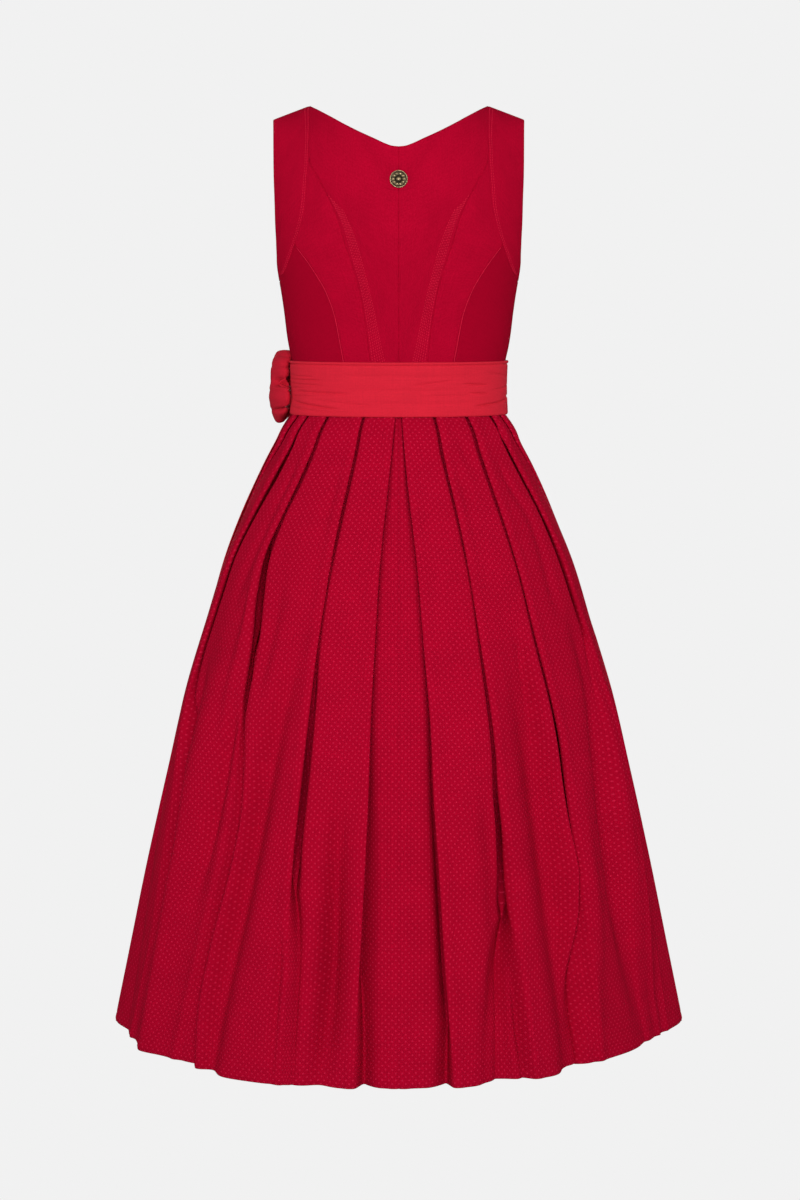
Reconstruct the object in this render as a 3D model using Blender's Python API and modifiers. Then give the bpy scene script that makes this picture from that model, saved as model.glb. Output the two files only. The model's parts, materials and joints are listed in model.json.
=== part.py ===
"""A dirndl with a knife-pleated skirt, an apron and a sash tied in a bow, as it hangs when worn.

Metres, +Z up. The origin lies between the neck ends of the two shoulder seams, where the
wearer's shoulders hold the garment. The back faces -Y and the wearer's right is +X. Each piece
that a maker would cut is an object of its own. Angles go round the body from the centre back
(0) over the wearer's right side (90) to the centre front (180), and negative on the left.
"""

import math

import bpy
import numpy as np

# Cloth
CLOTH_WALL = 0.0012
SASH_WALL = 0.0015
SEAM_GAP = 0.0006

# Heights below the shoulder line
WAIST_HEIGHT = -0.3330
SKIRT_TOP = -0.3342
UNDERARM_HEIGHT = -0.2060
HEM_HEIGHT = -1.1050

# Shoulders: the ridge falls with this slope from the neck point, and the cloth goes over it
# through a quarter turn this long and this high
NECK_HALF_WIDTH = 0.1055
SHOULDER_SLOPE = 0.37
SHOULDER_ROUND = 0.085
SHOULDER_ARC = 0.120
SETTLING_STEPS = 12

# Panels: how fast a curved end of a panel dies out along it, and the radius that seam gaps
# round the body are measured at
END_FALLOFF = 3
BODY_RADIUS = 0.10

# Bust
BUST_OUT = 0.020
BUST_X = 0.072
BUST_HEIGHT = -0.195
BUST_SPREAD_X = 0.040
BUST_SPREAD_Z = 0.048

# Sections of the body of the bodice: height, half width, back depth, front depth
BODICE_SECTIONS = (
    (-0.3400, 0.1260, 0.0890, 0.0872),
    (-0.3330, 0.1260, 0.0890, 0.0872),
    (-0.3000, 0.1272, 0.0893, 0.0872),
    (-0.2860, 0.1303, 0.0915, 0.0930),
    (-0.2720, 0.1327, 0.0930, 0.0965),
    (-0.2430, 0.1362, 0.0960, 0.1020),
    (-0.2150, 0.1403, 0.0990, 0.1070),
    (-0.1860, 0.1458, 0.1015, 0.1090),
    (-0.1500, 0.1530, 0.1030, 0.1070),
    (-0.1000, 0.1585, 0.1010, 0.0960),
    (-0.0500, 0.1600, 0.0930, 0.0800),
    (0.0600, 0.1600, 0.0800, 0.0620),
)

# Seams of the bodice, on the right side: distance from the centre, height
BACK_NECKLINE = ((0.0, -0.0508), (0.0080, -0.0500), (0.0165, -0.0470), (0.0280, -0.0415),
                 (0.0450, -0.0335), (0.0640, -0.0235), (0.0820, -0.0130), (0.0960, -0.0050),
                 (0.1055, 0.0))
BACK_YOKE_SEAM = ((0.1405, -0.2045), (0.1310, -0.1870), (0.1215, -0.1620), (0.1145, -0.1400),
                  (0.1085, -0.1100), (0.1056, -0.0660), (0.1045, -0.0310), (0.1055, 0.0))
BACK_PRINCESS_SEAM = ((0.0310, -0.3330), (0.0330, -0.3000), (0.0375, -0.2650), (0.0480, -0.2080),
                      (0.0590, -0.1730), (0.0730, -0.1280), (0.0840, -0.1040), (0.0935, -0.0870),
                      (0.1044, -0.0660))
SIDE_PANEL_SEAM = ((0.0605, -0.3330), (0.0635, -0.2990), (0.0715, -0.2560), (0.0835, -0.2190),
                   (0.0935, -0.2010), (0.1055, -0.1830), (0.1215, -0.1620))
BACK_ARMHOLE = ((0.1443, -0.1900), (0.1448, -0.1700), (0.1455, -0.1450), (0.1468, -0.1000),
                (0.1480, -0.0500), (0.1490, -0.0161))
FRONT_ARMHOLE = ((0.1415, -0.1900), (0.1395, -0.1700), (0.1375, -0.1400), (0.1370, -0.1000),
                 (0.1415, -0.0500), (0.1490, -0.0161))
FRONT_YOKE_SEAM = ((0.1385, -0.1980), (0.1300, -0.1680), (0.1100, -0.1330), (0.0930, -0.1120))
FRONT_PRINCESS_SEAM = ((0.0460, -0.3330), (0.0500, -0.3000), (0.0620, -0.2450), (0.0740, -0.1950),
                       (0.0850, -0.1500), (0.0930, -0.1120))
FRONT_NECK_SIDE = ((0.0930, -0.1120), (0.0980, -0.0800), (0.1020, -0.0400), (0.1055, 0.0))
FRONT_NECKLINE = ((0.0930, -0.1120), (0.0700, -0.1190), (0.0400, -0.1230), (0.0150, -0.1270),
                  (0.0, -0.1300))

# Sections of the skirt along the outer folds: height, half width, back depth, front depth
SKIRT_SECTIONS = (
    (-0.3342, 0.1258, 0.0890, 0.0890),
    (-0.3640, 0.1276, 0.0910, 0.0905),
    (-0.3720, 0.1335, 0.0965, 0.0955),
    (-0.3820, 0.1398, 0.1030, 0.1015),
    (-0.4000, 0.1482, 0.1120, 0.1105),
    (-0.4300, 0.1630, 0.1270, 0.1250),
    (-0.4750, 0.1840, 0.1470, 0.1450),
    (-0.5350, 0.2080, 0.1710, 0.1690),
    (-0.6100, 0.2327, 0.1960, 0.1940),
    (-0.7000, 0.2588, 0.2220, 0.2200),
    (-0.8000, 0.2822, 0.2480, 0.2450),
    (-0.9000, 0.3034, 0.2700, 0.2660),
    (-1.0050, 0.3246, 0.2885, 0.2830),
    (-1.1050, 0.3432, 0.3050, 0.2980),
)

# Pleats: the step from layer to layer, how far the cloth doubles back under a fold at the waist,
# the depth of the three layers there, and the share of an opened pleat's faces that lean and step
LAYER_STEP = 0.0019
WAIST_OVERLAP = 0.035
WAIST_STACK = 0.0070
STACKED_OVERLAP = 0.024
LEAST_STACK = 0.0050
FOLD_LEAN = 0.18
FOLD_STEP = 0.10
HIP_HEIGHT = -0.5000
KNEE_HEIGHT = -0.8000
CENTRE_BULGE = 0.010
BULGE_SHOULDER = 0.7

# Outer fold lines on each side, from the centre back to the front, as angles at the waist, hip,
# knee and hem, then how far the cloth doubles back under the fold at hip, knee and hem
# (negative where the pleat has opened), then the height of crest and trough at the hem
RIGHT_FOLDS = (
    (0.6, 4.6, 8.2, 10.3, 0.031, 0.017, 0.002, 0.018, 0.005),
    (18.8, 22.3, 23.5, 26.5, 0.030, 0.015, -0.030, 0.006, -0.014),
    (39.0, 41.8, 44.6, 54.0, 0.029, 0.012, -0.060, -0.020, -0.038),
    (61.5, 67.6, 70.0, 71.0, 0.026, -0.008, -0.040, -0.020, -0.027),
    (84.5, 89.0, 89.0, 89.0, 0.028, -0.004, -0.048, 0.002, -0.020),
    (107.5, 110.5, 112.0, 113.5, 0.029, 0.008, -0.040, 0.000, -0.020),
    (130.0, 132.5, 134.5, 136.0, 0.030, 0.012, -0.030, 0.000, -0.018),
    (152.5, 155.0, 158.0, 161.0, 0.030, 0.014, -0.020, 0.000, -0.016),
)
LEFT_FOLDS = (
    (0.6, 4.9, 6.7, 8.0, 0.031, 0.019, 0.004, 0.020, 0.006),
    (19.0, 22.4, 22.7, 25.5, 0.030, 0.014, -0.045, 0.024, 0.004),
    (39.5, 47.5, 45.0, 51.0, 0.028, -0.010, -0.050, -0.006, -0.016),
    (61.0, 68.0, 68.0, 70.0, 0.026, -0.008, -0.040, -0.009, -0.016),
    (84.0, 88.5, 89.0, 89.0, 0.028, -0.004, -0.048, 0.002, -0.016),
    (107.0, 110.0, 112.0, 113.5, 0.029, 0.008, -0.038, 0.000, -0.020),
    (130.0, 132.5, 135.0, 137.0, 0.030, 0.012, -0.030, 0.000, -0.018),
    (152.5, 155.0, 158.0, 161.0, 0.030, 0.014, -0.020, 0.000, -0.016),
)
POINTS_PER_FOLD = 10

# The widths of cloth are sewn together in the back folds of these pleats, counted from the centre
# back, and the seam lies flat once the pleat has opened this far
SEAM_FOLDS = (2, 6)
SEAM_CLOSES_AT = 0.020

# Sash: height, half width, depth
SASH_SECTIONS = (
    (-0.3005, 0.1298, 0.0935),
    (-0.3330, 0.1290, 0.0925),
    (-0.3640, 0.1302, 0.0938),
)
SASH_POINTS = 56

# Apron: its side edges at the top and the hem, its lift off the skirt's folds and the height of
# its gathers at the top and further down, and the share of its length where each has grown
APRON_EDGE_ANGLE = 112.0
APRON_HEM_ANGLE = 118.0
APRON_TOP = -0.3655
APRON_HEM = -1.0600
APRON_LIFT_TOP = 0.0022
APRON_LIFT = 0.0045
APRON_LIFT_GROWN = 0.125
APRON_GATHERS = 9
APRON_POINTS_PER_GATHER = 4
APRON_WAVE_TOP = 0.0012
APRON_WAVE_HEM = 0.0120
APRON_WAVE_GROWN = 0.77

# Bow at the left front: its place on the sash, then a loop's root and reach, its depth and
# height, how it narrows and flattens towards its edges, and the crease that pinches its end
BOW_ANGLE = -121.0
BOW_HEIGHT = -0.3330
LOOP_OUT = 0.0147
LOOP_ROOT = 0.0150
LOOP_LENGTH = 0.0545
LOOP_DEPTH = 0.0240
LOOP_ROOT_DEPTH = 0.0016
LOOP_HALF_HEIGHT = 0.0435
LOOP_ROOT_HALF_HEIGHT = 0.0110
LOOP_OPENING = 0.7
LOOP_NARROWING_UP = 0.38
LOOP_NARROWING_DOWN = 0.16
LOOP_FLATTENING = 0.45
LOOP_PINCH = 0.16
LOOP_PINCH_LEVEL = 0.28
LOOP_PINCH_SPREAD = 0.22
LOOP_COLUMNS = 13
LOOP_ROWS = 8
BACK_LOOP_HUG = 4.5
BACK_LOOP_DROOP = -0.001
FRONT_LOOP_HUG = 2.0
FRONT_LOOP_DROOP = 0.0
KNOT_WIDTH = 0.034
KNOT_DEPTH = 0.032
KNOT_HEIGHT = 0.062

# Tie ends: height, angle, lift off the skirt's folds, half width, rise across the width
LONG_TAIL = (
    (-0.3594, -124.8, 0.0128, 0.0062, 0.000),
    (-0.3660, -125.2, 0.0105, 0.0090, 0.000),
    (-0.3800, -126.0, 0.0085, 0.0150, 0.000),
    (-0.4100, -127.5, 0.0115, 0.0220, 0.000),
    (-0.4700, -129.0, 0.0150, 0.0280, 0.000),
    (-0.5400, -129.7, 0.0175, 0.0300, 0.000),
    (-0.6200, -130.2, 0.0190, 0.0305, 0.000),
    (-0.7000, -130.5, 0.0205, 0.0305, 0.000),
    (-0.7700, -130.8, 0.0215, 0.0305, 0.000),
    (-0.8400, -131.0, 0.0220, 0.0305, 0.018),
)
SHORT_TAIL = (
    (-0.3594, -117.2, 0.0172, 0.0062, 0.000),
    (-0.3660, -118.0, 0.0155, 0.0090, 0.000),
    (-0.3800, -119.0, 0.0140, 0.0150, 0.000),
    (-0.4100, -120.5, 0.0170, 0.0220, 0.000),
    (-0.4700, -122.0, 0.0205, 0.0280, 0.000),
    (-0.5400, -122.7, 0.0230, 0.0300, 0.000),
    (-0.6200, -123.2, 0.0250, 0.0305, 0.000),
    (-0.7000, -123.6, 0.0265, 0.0305, 0.000),
    (-0.7700, -124.0, 0.0275, 0.0305, -0.018),
)
TAIL_COLUMNS = 5
TAIL_FOLD = 0.0015

# Rosette below the back neckline: its place, the stretch of back that it leans with, and its
# turned profile as radius and height, from the boss to the base
ROSETTE_HEIGHT = -0.0885
ROSETTE_SEAT = 0.0009
ROSETTE_LEAN_OVER = 0.002
ROSETTE_SIDES = 24
ROSETTE_PROFILE = (
    (0.0, 0.0035),
    (0.0028, 0.0031),
    (0.0038, 0.0020),
    (0.0070, 0.0026),
    (0.0100, 0.0016),
    (0.0105, 0.0007),
    (0.0098, 0.0),
    (0.0, 0.0),
)

# Colours
BODICE_RED = (0.436, 0.0016, 0.0215)
SKIRT_RED = (0.420, 0.0024, 0.0213)
SASH_RED = (0.625, 0.0145, 0.0343)
ANTIQUE_BRASS = (0.180, 0.130, 0.070)


def clear_scene():
    for found in list(bpy.data.objects):
        bpy.data.objects.remove(found, do_unlink=True)


def cloth_material(name, colour, roughness=0.8):
    material = bpy.data.materials.new(name)
    material.use_nodes = True
    shader = material.node_tree.nodes["Principled BSDF"]
    shader.inputs["Base Color"].default_value = (*colour, 1.0)
    shader.inputs["Roughness"].default_value = roughness
    return material


def brass_material():
    material = cloth_material("antique_brass", ANTIQUE_BRASS, 0.42)
    material.node_tree.nodes["Principled BSDF"].inputs["Metallic"].default_value = 1.0
    return material


def read_table(rows, column, height):
    """Smooth reading of one column of a table whose first column is the height."""
    table = np.array(rows, float)
    table = table[np.argsort(table[:, 0])]
    known, value = table[:, 0], table[:, column]
    slope = np.gradient(value, known)
    height = np.clip(np.asarray(height, float), known[0], known[-1])
    low = np.clip(np.searchsorted(known, height) - 1, 0, len(known) - 2)
    span = known[low + 1] - known[low]
    t = (height - known[low]) / span
    return ((2 * t**3 - 3 * t**2 + 1) * value[low] + (t**3 - 2 * t**2 + t) * span * slope[low]
            + (3 * t**2 - 2 * t**3) * value[low + 1] + (t**3 - t**2) * span * slope[low + 1])


def smooth_step(t):
    t = np.clip(t, 0.0, 1.0)
    return t * t * (3 - 2 * t)


# Bodice

def drop_of(reach):
    """Height lost, and share of the full depth gained, after going this far down over the shoulder."""
    turn = np.clip(reach / SHOULDER_ARC, 0.0, 1.0) * math.pi / 2
    drop = SHOULDER_ROUND * (1 - np.cos(turn)) + np.maximum(reach - SHOULDER_ARC, 0.0)
    return drop, np.sin(turn)


def reach_of(drop):
    turn = np.arccos(np.clip(1 - drop / SHOULDER_ROUND, 0.0, 1.0))
    return SHOULDER_ARC * turn / (math.pi / 2) + np.maximum(drop - SHOULDER_ROUND, 0.0)


def shoulder_height(x):
    return SHOULDER_SLOPE * (NECK_HALF_WIDTH - np.abs(x))


def bodice_surface(angle, reach):
    """Points of the bodice, for angles round the body and reaches down from the shoulder ridge."""
    drop, fullness = drop_of(reach)
    height = -drop
    for _ in range(SETTLING_STEPS):
        x = read_table(BODICE_SECTIONS, 1, height) * np.sin(angle)
        height = shoulder_height(x) - drop
    back = read_table(BODICE_SECTIONS, 2, height)
    front = read_table(BODICE_SECTIONS, 3, height)
    y = -np.where(np.cos(angle) > 0, back, front) * np.cos(angle) * fullness
    bust = BUST_OUT * np.exp(-((np.abs(x) - BUST_X) / BUST_SPREAD_X) ** 2 / 2
                             - ((height - BUST_HEIGHT) / BUST_SPREAD_Z) ** 2 / 2)
    y = y + bust * np.clip(-np.cos(angle), 0.0, 1.0) ** 0.5 * fullness
    return np.stack([x, y, height], axis=-1)


def on_pattern(points, front=False):
    """Turn points given as distance from the centre and height into angle and reach."""
    x, height = np.array(points, float).T
    angle = np.arcsin(np.clip(x / read_table(BODICE_SECTIONS, 1, height), -1.0, 1.0))
    if front:
        angle = math.pi - angle
    return np.stack([angle, reach_of(shoulder_height(x) - height)], axis=-1)


def seam(points, gaps, front=False):
    """Pattern points along a smooth line, the given number of equal gaps apart."""
    pattern = on_pattern(points, front)
    along = np.concatenate([[0.0], np.cumsum(np.linalg.norm(np.diff(pattern, axis=0), axis=1))])
    wanted = np.linspace(0.0, along[-1], gaps + 1)
    rows = np.column_stack([along, pattern])
    return np.column_stack([read_table(rows, 1, wanted), read_table(rows, 2, wanted)])


def neckline(points, gaps, front=False):
    """Pattern points along a neckline, evenly spaced across the body."""
    known = np.array(points, float)
    across = np.linspace(known[0, 0], known[-1, 0], gaps + 1)
    return on_pattern(np.column_stack([across, read_table(known, 1, across)]), front)


def joined(*lines):
    """One edge made of lines that follow each other."""
    return np.concatenate([lines[0], *(line[1:] for line in lines[1:])])


def fill_between(bottom, top, left, right):
    """Grid of pattern points inside four edges.

    Left and right run upwards, bottom and top to the right. The rows go straight from left to
    right, but near the two ends they take up the curves of the bottom and the top.
    """
    u = np.linspace(0.0, 1.0, len(bottom))[None, :, None]
    v = np.linspace(0.0, 1.0, len(left))[:, None, None]
    bottom, top, left, right = bottom[None], top[None], left[:, None], right[:, None]
    bottom_curve = bottom - ((1 - u) * bottom[:, :1] + u * bottom[:, -1:])
    top_curve = top - ((1 - u) * top[:, :1] + u * top[:, -1:])
    return ((1 - u) * left + u * right + bottom_curve * (1 - v) ** END_FALLOFF
            + top_curve * v ** END_FALLOFF)


def inset(grid):
    """Draw the grid in from its edges by half a seam gap."""
    half = SEAM_GAP / 2
    grid = grid.copy()
    grid[:, 0, 0] += half / BODY_RADIUS
    grid[:, -1, 0] -= half / BODY_RADIUS
    grid[-1, :, 1] += half
    return grid


def cloth_object(name, grid, material, thickness=CLOTH_WALL, closed=False, flip=False):
    """A wall of cloth whose middle runs through a grid of points."""
    rows, columns = grid.shape[:2]
    around = columns if closed else columns - 1
    faces = []
    for row in range(rows - 1):
        for column in range(around):
            following = (column + 1) % columns
            face = (row * columns + column, row * columns + following,
                    (row + 1) * columns + following, (row + 1) * columns + column)
            faces.append(face[::-1] if flip else face)
    mesh = bpy.data.meshes.new(name)
    mesh.from_pydata(grid.reshape(-1, 3).tolist(), [], faces)
    mesh.materials.append(material)
    mesh.shade_smooth()
    piece = bpy.data.objects.new(name, mesh)
    garment.objects.link(piece)
    wall = piece.modifiers.new("wall", "SOLIDIFY")
    wall.thickness = thickness
    wall.offset = 0.0
    wall.use_even_offset = True
    return piece


def bodice_panel(name, pattern, material):
    """The same panel for both sides of the body."""
    for side, mirrored in (("right", 1), ("left", -1)):
        grid = bodice_surface(pattern[..., 0], pattern[..., 1])
        grid[..., 0] *= mirrored
        cloth_object(f"{name}_{side}", grid, material, flip=mirrored < 0)


def level_line(start, end, height, gaps, front=False):
    """A level line between two distances from the centre."""
    return seam([(x, height) for x in np.linspace(start, end, 5)], gaps, front)


def build_bodice(material):
    waist_half = float(read_table(BODICE_SECTIONS, 1, WAIST_HEIGHT))
    underarm = (float(read_table(BODICE_SECTIONS, 1, UNDERARM_HEIGHT)), UNDERARM_HEIGHT)
    side_points = [(float(read_table(BODICE_SECTIONS, 1, height)), height)
                   for height in np.linspace(WAIST_HEIGHT, UNDERARM_HEIGHT, 6)]
    junction = SIDE_PANEL_SEAM[-1][1]
    middle_top = BACK_PRINCESS_SEAM[-1][1]

    # Seams of the back, each read once so that both its panels share its points
    yoke_low = seam([point for point in BACK_YOKE_SEAM if point[1] <= junction], 3)
    yoke_mid = seam([point for point in BACK_YOKE_SEAM if junction <= point[1] <= middle_top], 4)
    yoke_high = seam([point for point in BACK_YOKE_SEAM if point[1] >= middle_top], 4)
    princess = seam(BACK_PRINCESS_SEAM, 10)
    side_panel = seam(SIDE_PANEL_SEAM, 6)
    underarm_back = seam([BACK_YOKE_SEAM[0], underarm], 1)
    middle_cap = seam([BACK_PRINCESS_SEAM[-1], BACK_YOKE_SEAM[5]], 2)
    centre_back = seam([(0.0, height)
                        for height in np.linspace(WAIST_HEIGHT, BACK_NECKLINE[0][1], 5)], 14)

    bodice_panel("back_centre", inset(fill_between(
        level_line(0.0, BACK_PRINCESS_SEAM[0][0], WAIST_HEIGHT, 7), neckline(BACK_NECKLINE, 7),
        centre_back, joined(princess, yoke_high))), material)
    bodice_panel("back_middle", inset(fill_between(
        level_line(BACK_PRINCESS_SEAM[0][0], SIDE_PANEL_SEAM[0][0], WAIST_HEIGHT, 2), middle_cap,
        princess, joined(side_panel, yoke_mid))), material)
    bodice_panel("back_side", inset(fill_between(
        level_line(SIDE_PANEL_SEAM[0][0], waist_half, WAIST_HEIGHT, 4),
        joined(yoke_low[::-1], underarm_back), side_panel, seam(side_points, 6))), material)
    bodice_panel("back_yoke", inset(fill_between(
        seam([BACK_YOKE_SEAM[0], underarm], 3), seam([BACK_YOKE_SEAM[-1], BACK_ARMHOLE[-1]], 3),
        joined(yoke_low, yoke_mid, yoke_high), seam([underarm, *BACK_ARMHOLE], 11))), material)

    # Seams of the front
    front_yoke = seam(FRONT_YOKE_SEAM, 4, True)
    front_princess = seam(FRONT_PRINCESS_SEAM, 6, True)
    underarm_front = seam([underarm, FRONT_YOKE_SEAM[0]], 1, True)
    neck_side = seam(FRONT_NECK_SIDE, 5, True)
    centre_front = seam([(0.0, height) for height in np.linspace(
        WAIST_HEIGHT, FRONT_NECKLINE[-1][1], 5)], 6, True)

    bodice_panel("front_yoke", inset(fill_between(
        seam([underarm, FRONT_YOKE_SEAM[0]], 3, True),
        seam([FRONT_ARMHOLE[-1], FRONT_NECK_SIDE[-1]], 3, True),
        seam([underarm, *FRONT_ARMHOLE], 9, True), joined(front_yoke, neck_side))), material)
    bodice_panel("front_side", inset(fill_between(
        level_line(waist_half, FRONT_PRINCESS_SEAM[0][0], WAIST_HEIGHT, 5, True),
        joined(underarm_front, front_yoke), seam(side_points, 6, True), front_princess)), material)
    bodice_panel("front_centre", inset(fill_between(
        level_line(FRONT_PRINCESS_SEAM[0][0], 0.0, WAIST_HEIGHT, 5, True),
        neckline(FRONT_NECKLINE, 5, True), front_princess, centre_front)), material)


# Skirt

def ellipse_sizes(angle, height):
    """Half width and depth of the skirt's section, the depth being the back's or the front's."""
    half_width = read_table(SKIRT_SECTIONS, 1, height)
    back = read_table(SKIRT_SECTIONS, 2, height)
    front = read_table(SKIRT_SECTIONS, 3, height)
    return half_width, np.where(np.cos(angle) > 0, back, front)


def length_per_turn(angle, height):
    """Metres along the section for each radian, at an angle."""
    half_width, depth = ellipse_sizes(angle, height)
    return np.hypot(half_width * np.cos(angle), depth * np.sin(angle))


def skirt_surface(angle, height, lift):
    """Points at the given angles, heights and distances outside the line of the outer folds."""
    half_width, depth = ellipse_sizes(angle, height)
    sine, cosine = np.sin(angle), np.cos(angle)
    size = np.hypot(depth * sine, half_width * cosine)
    x = half_width * sine + lift * depth * sine / size
    y = -depth * cosine - lift * half_width * cosine / size
    return np.stack([x, y, np.broadcast_to(height, x.shape)], axis=-1)


def fold_at(row, height):
    """Angle, overlap, crest and trough of one fold at a height."""
    waist, hip, knee, hem, hip_over, knee_over, hem_over, crest, trough = row
    turns = ((HEM_HEIGHT, hem), (KNEE_HEIGHT, knee), (HIP_HEIGHT, hip), (SKIRT_TOP, waist))
    overlaps = ((HEM_HEIGHT, hem_over), (KNEE_HEIGHT, knee_over), (HIP_HEIGHT, hip_over),
                (SKIRT_TOP, WAIST_OVERLAP))
    opened = float(smooth_step((HIP_HEIGHT - height) / (HIP_HEIGHT - HEM_HEIGHT)))
    angle = math.radians(float(read_table(turns, 1, height)))
    overlap = float(read_table(overlaps, 1, height))
    stack = min(WAIST_STACK, max(LEAST_STACK, WAIST_STACK * overlap / STACKED_OVERLAP))
    crest_now = crest * opened
    trough_now = min(crest_now - stack, trough * opened - stack * (1 - opened))
    return angle, overlap, crest_now, trough_now


def half_section(folds, height):
    """Angles and lifts of the cloth from the centre back to the centre front of one side."""
    rows = [fold_at(row, height) for row in folds]
    turned = [overlap / float(length_per_turn(angle, height)) for angle, overlap, _, _ in rows]
    first_back = rows[0][0] + turned[0]
    opened = float(smooth_step((HIP_HEIGHT - height) / (HIP_HEIGHT - HEM_HEIGHT)))
    angles = [0.0, first_back / 2]
    bulge = CENTRE_BULGE * opened
    lifts = [rows[0][3] + bulge, rows[0][3] + bulge * BULGE_SHOULDER]
    for index, (angle, overlap, crest, trough) in enumerate(rows):
        under = turned[index]
        lean = max(0.0, -under) * FOLD_LEAN
        step = max(LAYER_STEP, FOLD_STEP * (crest - trough))
        rise_lean, rise_step = lean, step
        if index in SEAM_FOLDS:
            rise_lean = SEAM_GAP / float(length_per_turn(angle, height))
            rise_step = LAYER_STEP * float(smooth_step(1 + overlap / SEAM_CLOSES_AT))
        angles += [angle + under, angle + under + rise_lean, angle + under / 2, angle - lean, angle]
        lifts += [trough, trough + rise_step, (trough + crest) / 2, crest - step, crest]
        last = index == len(rows) - 1
        end = math.pi if last else rows[index + 1][0] + turned[index + 1]
        end_lift = 0.0 if last else rows[index + 1][3]
        span = end - angle
        first_station = max(under, span / 4)
        last_station = span / 4 if last else max(turned[index + 1], span / 4)
        stations = [first_station / 2, first_station, (span + first_station - last_station) / 2,
                    span - last_station, span - last_station / 2]
        for station in stations:
            angles.append(angle + station)
            lifts.append(crest + (end_lift - crest) * (1 - math.cos(math.pi * station / span)) / 2)
    angles.append(math.pi)
    lifts.append(0.0)
    return angles, lifts


def build_skirt(material):
    heights = [row[0] for row in SKIRT_SECTIONS]
    ring = []
    for height in heights[::-1]:
        right_angles, right_lifts = half_section(RIGHT_FOLDS, height)
        left_angles, left_lifts = half_section(LEFT_FOLDS, height)
        angles = [-angle for angle in left_angles[:0:-1]] + right_angles
        lifts = left_lifts[:0:-1] + right_lifts
        ring.append(skirt_surface(np.array(angles), np.array(height), np.array(lifts)))
    grid = np.array(ring)
    centre = len(grid[0]) // 2
    seam_back = 2 + POINTS_PER_FOLD * 2
    seam_front = 2 + POINTS_PER_FOLD * 6
    cuts = {
        "skirt_back": (centre - seam_back, centre + seam_back),
        "skirt_right": (centre + seam_back + 1, centre + seam_front),
        "skirt_left": (centre - seam_front, centre - seam_back - 1),
    }
    for name, (first, last) in cuts.items():
        cloth_object(name, grid[:, first:last + 1], material)
    front = np.concatenate([grid[:, centre + seam_front + 1:-1], grid[:, :centre - seam_front]], axis=1)
    cloth_object("skirt_front", front, material)


# Sash, apron and bow

def build_sash(material):
    """The apron's waistband and ties, once round the waist over the seam."""
    angles = np.linspace(-math.pi, math.pi, SASH_POINTS, endpoint=False)
    grid = []
    for height, half_width, depth in SASH_SECTIONS[::-1]:
        grid.append(np.stack([half_width * np.sin(angles), -depth * np.cos(angles),
                              np.full(SASH_POINTS, height)], axis=-1))
    cloth_object("sash_band", np.array(grid), material, SASH_WALL, closed=True)


def build_apron(material):
    """A straight panel gathered to the waistband, over the front of the skirt."""
    columns = APRON_GATHERS * APRON_POINTS_PER_GATHER + 1
    across = np.linspace(-1.0, 1.0, columns)
    between = [row[0] for row in SKIRT_SECTIONS if APRON_HEM < row[0] < APRON_TOP]
    grid = []
    for height in (APRON_HEM, *between[::-1], APRON_TOP):
        fallen = (APRON_TOP - height) / (APRON_TOP - APRON_HEM)
        spread = 180.0 - (APRON_EDGE_ANGLE + (APRON_HEM_ANGLE - APRON_EDGE_ANGLE) * fallen)
        angles = math.pi - np.radians(spread) * across
        grown = float(smooth_step(fallen / APRON_WAVE_GROWN))
        wave = APRON_WAVE_TOP + (APRON_WAVE_HEM - APRON_WAVE_TOP) * grown
        lifted = float(smooth_step(fallen / APRON_LIFT_GROWN))
        lift = APRON_LIFT_TOP + (APRON_LIFT - APRON_LIFT_TOP) * lifted
        lift = lift + wave * (1 - np.cos(math.pi * APRON_GATHERS * (across + 1))) / 2
        grid.append(skirt_surface(angles, np.array(height), lift))
    cloth_object("apron_panel", np.array(grid)[:, ::-1], material)


def bow_frame(angle):
    """Where the sash lies at an angle, and its directions along, outwards and up."""
    half_width, depth = SASH_SECTIONS[1][1:]
    place = np.array([half_width * math.sin(angle), -depth * math.cos(angle), BOW_HEIGHT])
    along = np.array([half_width * math.cos(angle), depth * math.sin(angle), 0.0])
    along /= np.linalg.norm(along)
    outwards = np.array([along[1], -along[0], 0.0])
    return place, along, outwards, np.array([0.0, 0.0, 1.0])


def build_loop(name, direction, hug, droop, material):
    """One loop of the bow: out along the sash, round its end and back to the knot."""
    place, along, outwards, up = bow_frame(math.radians(BOW_ANGLE))
    turns = np.linspace(-1.0, 1.0, LOOP_COLUMNS)
    grid = []
    for level in np.linspace(-1.0, 1.0, LOOP_ROWS):
        pinch = 1 - LOOP_PINCH * math.exp(-((level - LOOP_PINCH_LEVEL) / LOOP_PINCH_SPREAD) ** 2)
        narrowing = LOOP_NARROWING_UP if level > 0 else LOOP_NARROWING_DOWN
        length = LOOP_LENGTH * pinch * (1 - narrowing * level ** 2)
        depth = LOOP_DEPTH * pinch * (1 - LOOP_FLATTENING * level ** 2)
        line = []
        for turn in turns:
            fullness = math.cos(turn * math.pi / 2)
            reach = LOOP_ROOT + length * fullness
            opening = (LOOP_HALF_HEIGHT - LOOP_ROOT_HALF_HEIGHT) * fullness ** LOOP_OPENING
            rise = (LOOP_ROOT_HALF_HEIGHT + opening) * level - droop * fullness
            side = math.sin(turn * math.pi) * depth / 2 + turn * LOOP_ROOT_DEPTH
            out = LOOP_OUT - side - hug * reach ** 2
            line.append(place + along * direction * reach + outwards * out + up * rise)
        grid.append(line)
    cloth_object(name, np.array(grid), material, flip=direction > 0)


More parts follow.
